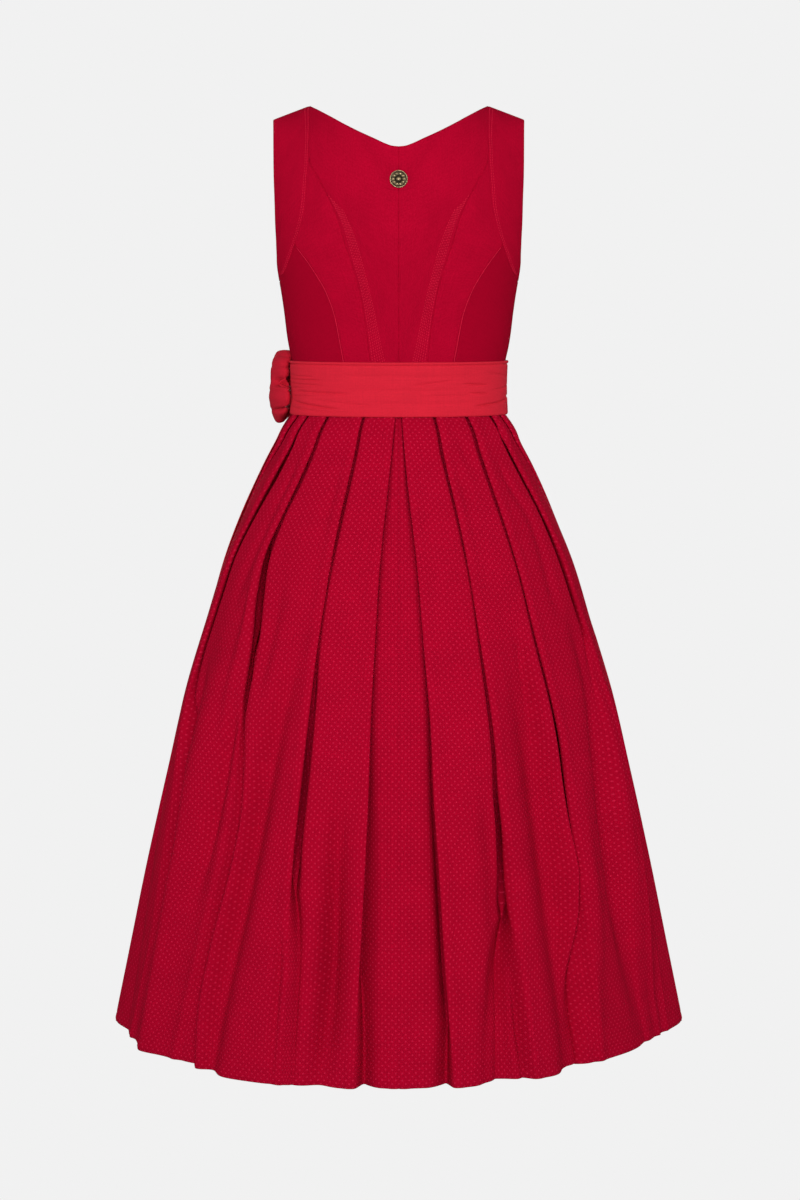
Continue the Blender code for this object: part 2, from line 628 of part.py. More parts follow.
def build_knot(material):
    """The knot, a soft band wrapped over the roots of the loops."""
    place, along, outwards, up = bow_frame(math.radians(BOW_ANGLE))
    bpy.ops.mesh.primitive_cube_add(size=1.0)
    knot = bpy.context.object
    knot.name = "bow_knot"
    knot.data.name = "bow_knot"
    for vertex in knot.data.vertices:
        point = (place + outwards * (vertex.co.x * KNOT_DEPTH + LOOP_OUT)
                 + along * vertex.co.y * KNOT_WIDTH + up * vertex.co.z * KNOT_HEIGHT)
        vertex.co = point.tolist()
    knot.data.materials.append(material)
    knot.data.shade_smooth()
    for collection in list(knot.users_collection):
        collection.objects.unlink(knot)
    garment.objects.link(knot)
    soften = knot.modifiers.new("soften", "SUBSURF")
    soften.levels = 2
    soften.render_levels = 2


def build_tail(name, rows, material):
    """A tie end hanging from the knot over the apron, from a table of its sections."""
    across = np.linspace(-1.0, 1.0, TAIL_COLUMNS)
    grid = []
    for height, angle, lift, half_width, slant in rows[::-1]:
        turn = math.radians(angle)
        angles = turn + across * half_width / float(length_per_turn(turn, height))
        heights = height + slant * across
        fold = TAIL_FOLD * np.cos(across * math.pi)
        grid.append(skirt_surface(angles, heights, lift + fold))
    cloth_object(name, np.array(grid), material)


def build_rosette(material):
    """A small turned ornament sewn on below the back neckline."""
    reach = float(reach_of(shoulder_height(0.0) - ROSETTE_HEIGHT))
    seat = bodice_surface(np.array(0.0), np.array(reach))
    below = bodice_surface(np.array(0.0), np.array(reach + ROSETTE_LEAN_OVER))
    tilt = math.atan2(float(seat[1] - below[1]), float(seat[2] - below[2]))
    mesh = bpy.data.meshes.new("back_rosette")
    points = [(radius, 0.0, height) for radius, height in ROSETTE_PROFILE]
    mesh.from_pydata(points, [(i, i + 1) for i in range(len(points) - 1)], [])
    mesh.materials.append(material)
    rosette = bpy.data.objects.new("back_rosette", mesh)
    garment.objects.link(rosette)
    turned = rosette.modifiers.new("turned", "SCREW")
    turned.steps = ROSETTE_SIDES
    turned.render_steps = ROSETTE_SIDES
    turned.use_merge_vertices = True
    turned.merge_threshold = 0.0001
    rosette.location = (0.0, float(seat[1]) - ROSETTE_SEAT, ROSETTE_HEIGHT)
    rosette.rotation_euler = (math.pi / 2 - tilt, 0.0, 0.0)


garment = bpy.data.collections.new("dirndl")


def main():
    clear_scene()
    bpy.context.scene.collection.children.link(garment)
    bodice_cloth = cloth_material("bodice_cloth", BODICE_RED)
    skirt_cloth = cloth_material("skirt_cloth", SKIRT_RED)
    sash_cloth = cloth_material("sash_cloth", SASH_RED, 0.6)
    build_bodice(bodice_cloth)
    build_skirt(skirt_cloth)
    build_apron(sash_cloth)
    build_sash(sash_cloth)
    build_loop("bow_loop_back", 1, BACK_LOOP_HUG, BACK_LOOP_DROOP, sash_cloth)
    build_loop("bow_loop_front", -1, FRONT_LOOP_HUG, FRONT_LOOP_DROOP, sash_cloth)
    build_knot(sash_cloth)
    build_tail("tie_tail_long", LONG_TAIL, sash_cloth)
    build_tail("tie_tail_short", SHORT_TAIL, sash_cloth)
    build_rosette(brass_material())


main()
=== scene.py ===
"""The looks of a dirndl seen from the back: bodice, pleated skirt, apron, sash, bow and rosette.

Metres, +Z up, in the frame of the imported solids. The origin lies between the neck ends of the
two shoulder seams, the back faces -Y and the wearer's right is +X. Angles go round the body from
the centre back (0) over the wearer's right side (90) to the centre front (180). Long tables are
written in millimetres and degrees.
"""

import json
import logging
import math
from dataclasses import dataclass, field
from enum import Enum
from typing import NamedTuple

import bpy
import numpy as np
from mathutils import Matrix

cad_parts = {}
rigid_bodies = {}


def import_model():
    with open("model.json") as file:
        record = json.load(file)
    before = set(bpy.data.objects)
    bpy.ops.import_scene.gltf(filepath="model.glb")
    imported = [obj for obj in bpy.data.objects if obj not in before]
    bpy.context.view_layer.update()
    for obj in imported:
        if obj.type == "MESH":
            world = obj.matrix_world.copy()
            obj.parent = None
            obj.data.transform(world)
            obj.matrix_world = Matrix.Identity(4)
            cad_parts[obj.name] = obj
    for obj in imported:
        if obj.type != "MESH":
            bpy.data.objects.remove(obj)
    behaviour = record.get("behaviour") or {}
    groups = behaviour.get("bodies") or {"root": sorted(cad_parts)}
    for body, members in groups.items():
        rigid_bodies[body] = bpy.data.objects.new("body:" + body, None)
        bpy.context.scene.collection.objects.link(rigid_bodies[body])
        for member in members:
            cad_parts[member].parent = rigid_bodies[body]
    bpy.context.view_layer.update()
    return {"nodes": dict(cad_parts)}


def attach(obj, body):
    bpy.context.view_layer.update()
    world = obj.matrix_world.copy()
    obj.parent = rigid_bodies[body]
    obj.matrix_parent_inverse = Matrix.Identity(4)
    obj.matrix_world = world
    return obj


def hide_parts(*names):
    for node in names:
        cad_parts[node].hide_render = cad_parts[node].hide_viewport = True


Array = np.ndarray
Colour = tuple[float, float, float]
Point = tuple[float, float]
Table = tuple[tuple[float, ...], ...]

BODY = "root"
PLACE_MAP = "cloth"
TINY = 1e-9
WHITE = (1.0, 1.0, 1.0, 1.0)
BLACK = (0.0, 0.0, 0.0, 1.0)

# Creases die out over this share of their length on either side of each end
CREASE_END = 0.15

log = logging.getLogger("dirndl")


class Held(Enum):
    """How a sheet of cloth is held in the garment."""

    GATHERED = "gathered"
    FOLDED = "folded"
    STRETCHED = "stretched"


class Side(Enum):
    """A side of the wearer, with the sign of X there."""

    RIGHT = 1
    LEFT = -1


# Reading tables and lines

def soft_curve(t: Array, start: Array, end: Array, leave: Array, arrive: Array) -> Array:
    """A cubic from start to end as t goes from 0 to 1, with the slopes given at both."""
    return ((2 * t**3 - 3 * t**2 + 1) * start + (t**3 - 2 * t**2 + t) * leave
            + (3 * t**2 - 2 * t**3) * end + (t**3 - t**2) * arrive)


def read_table(rows: Table | Array, column: int, at: Array | float) -> Array:
    """Smooth reading of one column of a table whose first column is what it is read by.

    Args:
        rows: The table, in any order of its first column.
        column: The column to read.
        at: Where to read it; beyond the table's ends the end value holds.

    Returns:
        The values, in the shape of at.
    """
    table = np.array(rows, float)
    table = table[np.argsort(table[:, 0])]
    known, value = table[:, 0], table[:, column]
    slope = np.gradient(value, known)
    at = np.clip(np.asarray(at, float), known[0], known[-1])
    low = np.clip(np.searchsorted(known, at) - 1, 0, len(known) - 2)
    span = known[low + 1] - known[low]
    return soft_curve((at - known[low]) / span, value[low], value[low + 1], span * slope[low],
                      span * slope[low + 1])


def metres(*rows: tuple[float, ...], angle: int | None = None) -> Table:
    """A table in metres from rows in millimetres; the column of an angle stays in degrees."""
    return tuple(tuple(value if column == angle else round(value / 1000, 7)
                       for column, value in enumerate(row)) for row in rows)


def section_at(sections: Table, angle: Array, height: Array) -> tuple[Array, Array]:
    """Half width and depth; the table holds height, half width, back depth and front depth."""
    half_width, back, front = (read_table(sections, column, height) for column in (1, 2, 3))
    return half_width, np.where(np.cos(angle) > 0, back, front)


def smooth_step(t: Array | float) -> Array:
    """A soft rise from 0 to 1 as t goes from 0 to 1."""
    t = np.clip(t, 0.0, 1.0)
    return t * t * (3 - 2 * t)


def bell(distance: Array, width: Array | float) -> Array:
    """A soft hump that is 1 at distance 0 and dies out past one width."""
    return np.exp(-(distance / width) ** 2)


def run_lengths(points: Array, axis: int) -> Array:
    """Lengths along lines of points, from 0 at the first point.

    Args:
        points: Points in an array whose last axis is X, Y, Z.
        axis: The axis that the lines run along.

    Returns:
        The length up to each point, in the shape of points without its last axis.
    """
    steps = np.linalg.norm(np.diff(points, axis=axis), axis=-1)
    start = np.zeros_like(np.take(steps, [0], axis=axis))
    return np.concatenate([start, np.cumsum(steps, axis=axis)], axis=axis)


def mean_length(points: Array, axis: int) -> float:
    """Mean length of the lines of points that run along an axis."""
    return float(np.mean(np.take(run_lengths(points, axis), -1, axis=axis)))


# Objects

def new_mesh(name: str, vertices: list, faces: list, material: bpy.types.Material) -> bpy.types.Mesh:
    """A smooth mesh in one finish."""
    mesh = bpy.data.meshes.new(name)
    mesh.from_pydata(vertices, [], faces)
    mesh.materials.append(material)
    mesh.shade_smooth()
    return mesh


def add_object(name: str, data: bpy.types.ID) -> bpy.types.Object:
    """An object with this mesh, light or camera, linked to the scene."""
    made = bpy.data.objects.new(name, data)
    bpy.context.scene.collection.objects.link(made)
    return made


# Cloth

@dataclass(frozen=True)
class Cut:
    """The size that a piece was cut to, and how it is held.

    The area is the flat area where the cut isn't a rectangle.
    """

    width: float
    length: float
    held: Held
    area: float | None = None


@dataclass
class ClothGrid:
    """A sheet of cloth as rows of points that go upwards, each row from left to right.

    place holds where each point lies on the flat cloth, in metres across and along. facing is 1,
    or -1 where the sheet was mirrored.
    """

    points: Array
    place: Array
    facing: int = 1

    @classmethod
    def measured(cls, points: Array) -> "ClothGrid":
        """A sheet whose place on the flat cloth is measured from its middle column.

        Args:
            points: The points, as rows, columns and X, Y, Z.

        Returns:
            The sheet.
        """
        across = run_lengths(points, 1)
        middle = points.shape[1] // 2
        across = across - across[:, middle:middle + 1]
        along = np.broadcast_to(run_lengths(points, 0)[:, middle:middle + 1], across.shape)
        return cls(points, np.stack([across, along], axis=-1))

    def area(self) -> float:
        """The sheet's area in square metres."""
        across = self.points[:-1, 1:] - self.points[1:, :-1]
        up = self.points[1:, 1:] - self.points[:-1, :-1]
        return float(np.linalg.norm(np.cross(across, up), axis=2).sum() / 2)

    def cut(self, held: Held) -> Cut:
        """The size of a sheet that has square corners on the flat cloth."""
        return Cut(mean_length(self.points, 1), float(np.mean(self.place[-1, :, 1])), held)

    def outward(self) -> Array:
        """Unit directions away from the body, one for each point."""
        normal = np.cross(np.gradient(self.points, axis=1), np.gradient(self.points, axis=0))
        size = np.maximum(np.linalg.norm(normal, axis=2, keepdims=True), TINY)
        return self.facing * normal / size

    def with_directions(self) -> Array:
        """The points, each with its direction away from the body behind it."""
        return np.concatenate([self.points, self.outward()], axis=2)

    def pushed(self, distance: Array | float) -> "ClothGrid":
        """The sheet moved outwards, by one distance or one for each point."""
        lift = np.broadcast_to(distance, self.points.shape[:2])[..., None]
        return ClothGrid(self.points + self.outward() * lift, self.place, self.facing)

    def mirrored(self) -> "ClothGrid":
        """The same sheet for the other side of the body."""
        return ClothGrid(self.points * (-1, 1, 1), self.place, -self.facing)

    def with_edge_lines(self, shares: tuple[float, ...]) -> "ClothGrid":
        """The sheet with finer lines beside its left, right and top edges.

        Args:
            shares: Where the new lines lie, as shares of the first cell from the edge.

        Returns:
            The finer sheet.
        """
        rows, columns = self.points.shape[:2]
        near = np.array(shares)
        across = np.concatenate([[0], near, np.arange(1, columns - 1), columns - 1 - near[::-1],
                                 [columns - 1]])
        along = np.concatenate([np.arange(rows - 1), rows - 1 - near[::-1], [rows - 1]])
        joined = np.concatenate([self.points, self.place], axis=2)
        joined = take_between(take_between(joined, across, 1), along, 0)
        return ClothGrid(joined[..., :3], joined[..., 3:], self.facing)

    def shell(self, name: str, material: bpy.types.Material, wall: float) -> bpy.types.Object:
        """The sheet as an object with two faces and closed edges.

        Args:
            name: The object's name.
            material: Its finish.
            wall: The cloth's thickness.

        Returns:
            The object, linked to the scene.
        """
        rows, columns = self.points.shape[:2]
        corner = (np.arange(rows - 1)[:, None] * columns + np.arange(columns - 1)).ravel()
        faces = np.stack([corner, corner + 1, corner + columns + 1, corner + columns], axis=1)
        if self.facing < 0:
            faces = faces[:, ::-1]
        mesh = new_mesh(name, self.points.reshape(-1, 3).tolist(), faces.tolist(), material)
        layer = mesh.uv_layers.new(name=PLACE_MAP)
        layer.data.foreach_set("uv", self.place.reshape(-1, 2)[faces.ravel()].ravel())
        piece = add_object(name, mesh)
        thick = piece.modifiers.new("wall", "SOLIDIFY")
        thick.thickness = wall
        thick.offset = 0.0
        return piece


def crease_lift(across: Array, along: Array, creases: Table) -> Array:
    """How far small creases push a sheet outwards.

    Args:
        across: Distances across the sheet.
        along: Distances along it.
        creases: For each crease where it starts, where it ends, its depth (negative on a ridge)
            and its width.

    Returns:
        The lift, negative in a trough, dying out at each crease's ends.
    """
    lift = np.zeros(np.broadcast(across, along).shape)
    for start_across, start_along, end_across, end_along, depth, width in creases:
        run, rise = end_across - start_across, end_along - start_along
        length = math.hypot(run, rise)
        beside, up = across - start_across, along - start_along
        share = (beside * run + up * rise) / length ** 2
        away = (up * run - beside * rise) / length
        lift = lift - (depth * bell(away, width)
                       * smooth_step((share + CREASE_END) / (2 * CREASE_END))
                       * smooth_step((1 + CREASE_END - share) / (2 * CREASE_END)))
    return lift


def take_between(values: Array, at: Array, axis: int) -> Array:
    """Read an array between its entries along one axis.

    Args:
        values: The array.
        at: Where to read, as whole and broken indices.
        axis: The axis that the indices count along.

    Returns:
        The values read, with that axis as long as at.
    """
    low = np.clip(np.floor(at).astype(int), 0, values.shape[axis] - 2)
    shape = [1] * values.ndim
    shape[axis] = len(at)
    share = (at - low).reshape(shape)
    below, above = np.take(values, low, axis=axis), np.take(values, low + 1, axis=axis)
    return below * (1 - share) + above * share


def dress(piece: bpy.types.Object, nodes: tuple[str, ...]) -> None:
    """Tie a piece to the solids that it stands for.

    Args:
        piece: The finished piece.
        nodes: The solids that it replaces, or none for a piece of its own.
    """
    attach(piece, BODY)
    if nodes:
        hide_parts(*nodes)
    log.info("%s: %d faces", piece.name, len(piece.data.polygons))


# Finishes

class Wiring:
    """Adds nodes to one tree and wires them."""

    def __init__(self, tree: bpy.types.NodeTree) -> None:
        self.tree = tree

    def add(self, kind: str, feeds: dict | None = None, **settings: object) -> bpy.types.Node:
        """Add a node.

        Args:
            kind: The node's type.
            feeds: What goes into its inputs, by name or index: a socket or a value.
            settings: Attributes of the node.

        Returns:
            The node.
        """
        node = self.tree.nodes.new(kind)
        for name, value in settings.items():
            setattr(node, name, value)
        self.fill(node, feeds or {})
        return node

    def out(self, kind: str, feeds: dict | None = None, **settings: object) -> bpy.types.NodeSocket:
        """The first output of a new node."""
        return self.add(kind, feeds, **settings).outputs[0]

    def fill(self, node: bpy.types.Node, feeds: dict) -> None:
        """Feed inputs of a node, by name or index."""
        for key, value in feeds.items():
            self.feed(node.inputs[key], value)

    def feed(self, socket: bpy.types.NodeSocket, value: object) -> None:
        """Wire a socket into an input, or set the input's own value."""
        if isinstance(value, bpy.types.NodeSocket):
            self.tree.links.new(value, socket)
        else:
            socket.default_value = value

    def maths(self, operation: str, first: object, second: object = 0.0) -> bpy.types.NodeSocket:
        """The result of a sum on one or two values."""
        return self.out("ShaderNodeMath", {0: first, 1: second}, operation=operation)

    def blend(self, factor: object, first: object, second: object,
              way: str = "MIX") -> bpy.types.NodeSocket:
        """A colour between two colours, or one of them times the other."""
        return self.add("ShaderNodeMix", {"Factor": factor, 6: first, 7: second}, data_type="RGBA",
                        blend_type=way).outputs[2]

    def noise(self, place: object, scale: float, detail: float) -> bpy.types.NodeSocket:
        """Uneven values around one half."""
        return self.out("ShaderNodeTexNoise", {"Vector": place, "Scale": scale, "Detail": detail})

    def ramp(self, value: object, low: object, high: object) -> bpy.types.NodeSocket:
        """A soft rise from 0 to 1 as the value goes from low to high."""
        return self.out("ShaderNodeMapRange", {"Value": value, "From Min": low, "From Max": high},
                        interpolation_type="SMOOTHSTEP")


def new_group(name: str, inputs: tuple[str, ...],
              outputs: tuple[str, ...]) -> tuple[Wiring, dict, bpy.types.Node]:
    """Start a group of shader nodes that reads a place on the cloth.

    Args:
        name: The group's name.
        inputs: Names of its inputs beside the place, all plain values.
        outputs: Names of the outputs, all plain values.

    Returns:
        The wiring of the group, its inputs by name, and the node that takes its outputs.
    """
    tree = bpy.data.node_groups.new(name, "ShaderNodeTree")
    tree.interface.new_socket("Place", in_out="INPUT", socket_type="NodeSocketVector")
    for labels, way in ((inputs, "INPUT"), (outputs, "OUTPUT")):
        for label in labels:
            tree.interface.new_socket(label, in_out=way, socket_type="NodeSocketFloat")
    wiring = Wiring(tree)
    given = wiring.add("NodeGroupInput").outputs
    given = {label: given[label] for label in ("Place", *inputs)}
    return wiring, given, wiring.add("NodeGroupOutput")


def weave_group(streak_scale: float = 900.0, stretch: float = 0.03) -> bpy.types.NodeTree:
    """Plain weave: threads that pass over and under each other, with thicker ones here and there.

    Args:
        streak_scale: How fine the unevenness of the threads is.
        stretch: How slowly a thread changes along its length, as a share of that across it.

    Returns:
        The group. It puts out the height of the threads and how light each one is.
    """
    wiring, given, out = new_group("plain_weave", ("Thread",), ("Height", "Light"))
    parts = wiring.add("ShaderNodeSeparateXYZ", {0: given["Place"]}).outputs
    turn = wiring.maths("DIVIDE", math.pi, given["Thread"])
    waves = [wiring.maths("SINE", wiring.maths("MULTIPLY", part, turn)) for part in parts[:2]]
    streaks = []
    for size in ((1.0, stretch, 1.0), (stretch, 1.0, 1.0)):
        stretched = wiring.out("ShaderNodeVectorMath", {0: given["Place"], 1: size},
                               operation="MULTIPLY")
        streaks.append(wiring.noise(stretched, streak_scale, 1.0))
    wiring.fill(out, {
        "Height": wiring.maths("ABSOLUTE", wiring.maths("MULTIPLY", *waves)),
        "Light": wiring.maths("MULTIPLY", wiring.maths("ADD", *streaks), 0.5)})
    return wiring.tree


def dots_group() -> bpy.types.NodeTree:
    """Small round dots in rows, each row set half a step aside.

    Returns:
        The group. It puts out how much of the print covers a point.
    """
    wiring, given, out = new_group("staggered_dots", ("Step", "Row", "Radius", "Blur"), ("Print",))
    parts = wiring.add("ShaderNodeSeparateXYZ", {0: given["Place"]}).outputs
    row = wiring.maths("DIVIDE", parts[1], given["Row"])
    odd = wiring.maths("FLOORED_MODULO", wiring.maths("FLOOR", row), 2.0)
    step = wiring.maths("ADD", wiring.maths("DIVIDE", parts[0], given["Step"]),
                        wiring.maths("MULTIPLY", odd, 0.5))
    squares = []
    for count, pitch in ((step, given["Step"]), (row, given["Row"])):
        share = wiring.maths("SUBTRACT", count, wiring.maths("FLOOR", count))
        away = wiring.maths("MULTIPLY", wiring.maths("SUBTRACT", share, 0.5), pitch)
        squares.append(wiring.maths("MULTIPLY", away, away))
    edges = [wiring.maths(way, given["Radius"], given["Blur"]) for way in ("ADD", "SUBTRACT")]
    away = wiring.maths("SQRT", wiring.maths("ADD", *squares))
    wiring.fill(out, {"Print": wiring.ramp(away, *edges)})
    return wiring.tree


def shade(colour: Colour, share: float = 1.0) -> tuple[float, float, float, float]:
    """A colour made lighter or darker by a share, ready for a socket."""
    return (colour[0] * share, colour[1] * share, colour[2] * share, 1.0)


def new_material(name: str) -> tuple[bpy.types.Material, Wiring, bpy.types.Node]:
    """Start a material.

    Args:
        name: The material's name.

    Returns:
        The material, its wiring and its shader.
    """
    material = bpy.data.materials.new(name)
    material.use_nodes = True
    return material, Wiring(material.node_tree), material.node_tree.nodes["Principled BSDF"]


@dataclass(frozen=True)
class Dots:
    """Printed dots: their colour and their sizes on the cloth."""

    colour: Colour
    step: float
    row: float
    radius: float
    blur: float


@dataclass(frozen=True)
class ClothFinish:
    """A woven cotton: its dye, its threads and how it takes the light.

    streaks, specks and patches are the values of the noises between which the threads, the grain
    and the wear change; the scales say how fine the grain and the wear are.
    """

    name: str
    slot: str
    dye: Colour
    thread: float
    thread_height: float
    thread_light: float
    mottle: float
    roughness: float
    sheen: float
    sheen_tint: Colour
    shine: float
    grain: float
    lint: Colour
    dots: Dots | None = None
    streaks: Point = (0.3, 0.7)
    specks: Point = (0.3, 0.7)
    patches: Point = (0.25, 0.75)
    grain_scale: float = 480.0
    patch_scale: float = 26.0
    sheen_roughness: float = 0.5

    def material(self, weave: bpy.types.NodeTree,
                 print_dots: bpy.types.NodeTree) -> bpy.types.Material:
        """Build the material.

        Args:
            weave: The group for threads.
            print_dots: The group for printed dots.

        Returns:
            The material, which reads places on the flat cloth.
        """
        material, wiring, shader = new_material(self.name)
        place = wiring.out("ShaderNodeUVMap", uv_map=PLACE_MAP)
        threads = wiring.add("ShaderNodeGroup", {"Place": place, "Thread": self.thread},
                             node_tree=weave).outputs
        colour = wiring.blend(wiring.ramp(threads["Light"], *self.streaks),
                              shade(self.dye, 1 - self.thread_light),
                              shade(self.dye, 1 + self.thread_light))
        if self.dots is not None:
            covered = wiring.out("ShaderNodeGroup", {
                "Place": place, "Step": self.dots.step, "Row": self.dots.row,
                "Radius": self.dots.radius, "Blur": self.dots.blur}, node_tree=print_dots)
            colour = wiring.blend(covered, colour, shade(self.dots.colour))
        specks = wiring.ramp(wiring.noise(place, self.grain_scale, 2.0), *self.specks)
        colour = wiring.blend(specks, wiring.blend(self.grain, colour, BLACK),
                              wiring.blend(self.grain / 2, colour, shade(self.lint)))
        worn = wiring.ramp(wiring.noise(place, self.patch_scale, 3.0), *self.patches)
        light = wiring.blend(worn, shade((1 - self.mottle,) * 3), WHITE)
        bump = wiring.out("ShaderNodeBump", {"Strength": 1.0, "Distance": self.thread_height,
                                             "Height": threads["Height"]})
        wiring.fill(shader, {
            "Base Color": wiring.blend(1.0, colour, light, "MULTIPLY"), "Normal": bump,
            "Roughness": self.roughness, "Sheen Weight": self.sheen,
            "Sheen Roughness": self.sheen_roughness, "Sheen Tint": shade(self.sheen_tint),
            "Specular IOR Level": self.shine})
        return material


@dataclass(frozen=True)
class ThreadFinish:
    """Sewing thread in the colour of its cloth, a little lighter."""

    name: str
    slot: str
    dye: Colour
    roughness: float
    shine: float = 0.1

    def material(self) -> bpy.types.Material:
        """Build the material."""
        material, wiring, shader = new_material(self.name)
        wiring.fill(shader, {"Base Color": shade(self.dye), "Roughness": self.roughness,
                             "Specular IOR Level": self.shine})
        return material


@dataclass(frozen=True)
class BrassFinish:
    """Antique brass: dark in its hollows and rubbed bright on its ridges.

    ridges and rubbing are the values of the pointiness and of the grime's noise between which it
    gets bright; the roughness goes from dull to polished there.
    """

    name: str
    slot: str
    bright: Colour
    dark: Colour
    grime_scale: float = 700.0
    ridges: Point = (0.47, 0.56)
    rubbing: Point = (0.2, 0.6)
    dull: float = 0.6
    polished: float = 0.36
    pits: float = 0.0001

    def material(self) -> bpy.types.Material:
        """Build the material."""
        material, wiring, shader = new_material(self.name)
        place = wiring.add("ShaderNodeTexCoord").outputs["Object"]
        grime = wiring.noise(place, self.grime_scale, 4.0)
        sharp = wiring.add("ShaderNodeNewGeometry").outputs["Pointiness"]
        rubbed = wiring.maths("MULTIPLY", wiring.ramp(sharp, *self.ridges),
                              wiring.ramp(grime, *self.rubbing))
        wiring.fill(shader, {
            "Base Color": wiring.blend(rubbed, shade(self.dark), shade(self.bright)),
            "Roughness": wiring.out("ShaderNodeMapRange", {
                "Value": rubbed, "To Min": self.dull, "To Max": self.polished}),
            "Normal": wiring.out("ShaderNodeBump", {"Distance": self.pits, "Height": grime}),
            "Metallic": 1.0})
        return material


@dataclass
class Finishes:
    """Every finish of the garment, made once."""

    bodice: ClothFinish = ClothFinish(
        "bodice_cotton", "bodice_cloth", (0.445, 0.001, 0.022), 0.0006, 0.00012, 0.08, 0.1,
        0.9, 0.01, (1.0, 0.1, 0.16), 0.01, 0.11, (0.75, 0.03, 0.09))
    skirt: ClothFinish = ClothFinish(
        "dotted_print", "skirt_cloth", (0.4, 0.0014, 0.02), 0.0004, 0.00008, 0.06, 0.07,
        0.85, 0.01, (1.0, 0.06, 0.14), 0.01, 0.05, (0.6, 0.01, 0.05),
        Dots((0.56, 0.012, 0.05), 0.0078, 0.0039, 0.0009, 0.0006))
    side: ClothFinish = ClothFinish(
        "side_cotton", "bodice_cloth", (0.35, 0.0008, 0.017), 0.0006, 0.00012, 0.04, 0.03,
        0.9, 0.01, (1.0, 0.1, 0.16), 0.01, 0.06, (0.6, 0.02, 0.06))
    sash: ClothFinish = ClothFinish(
        "sash_cotton", "sash_cloth", (0.625, 0.0145, 0.0343), 0.0004, 0.00006, 0.04, 0.05,
        0.75, 0.04, (1.0, 0.25, 0.3), 0.05, 0.05, (0.8, 0.06, 0.1))
    # The bow and its ties are the sash's cotton with the dye darkened: painted shade for the shade that
    # falls on the bow, not a different cloth
    bow: ClothFinish = ClothFinish(
        "bow_cotton", "sash_cloth", (0.5, 0.0095, 0.027), 0.0004, 0.00006, 0.04, 0.05,
        0.75, 0.03, (1.0, 0.25, 0.3), 0.04, 0.05, (0.7, 0.05, 0.09))
    thread: ThreadFinish = ThreadFinish(
        "bodice_thread", "bodice_cloth", (0.62, 0.009, 0.045), 0.75)
    sash_thread: ThreadFinish = ThreadFinish(
        "sash_thread", "sash_cloth", (0.68, 0.02, 0.045), 0.7)
    brass: BrassFinish = BrassFinish(
        "antique_brass", "antique_brass", (0.33, 0.25, 0.14), (0.035, 0.028, 0.018))
    made: dict[str, bpy.types.Material] = field(default_factory=dict)

    def build(self) -> None:
        """Make the shared node groups and each material."""
        weave, dots = weave_group(), dots_group()
        for finish in (self.bodice, self.side, self.skirt, self.sash, self.bow):
            self.made[finish.name] = finish.material(weave, dots)
        for plain in (self.thread, self.sash_thread, self.brass):
            self.made[plain.name] = plain.material()


# Stitches

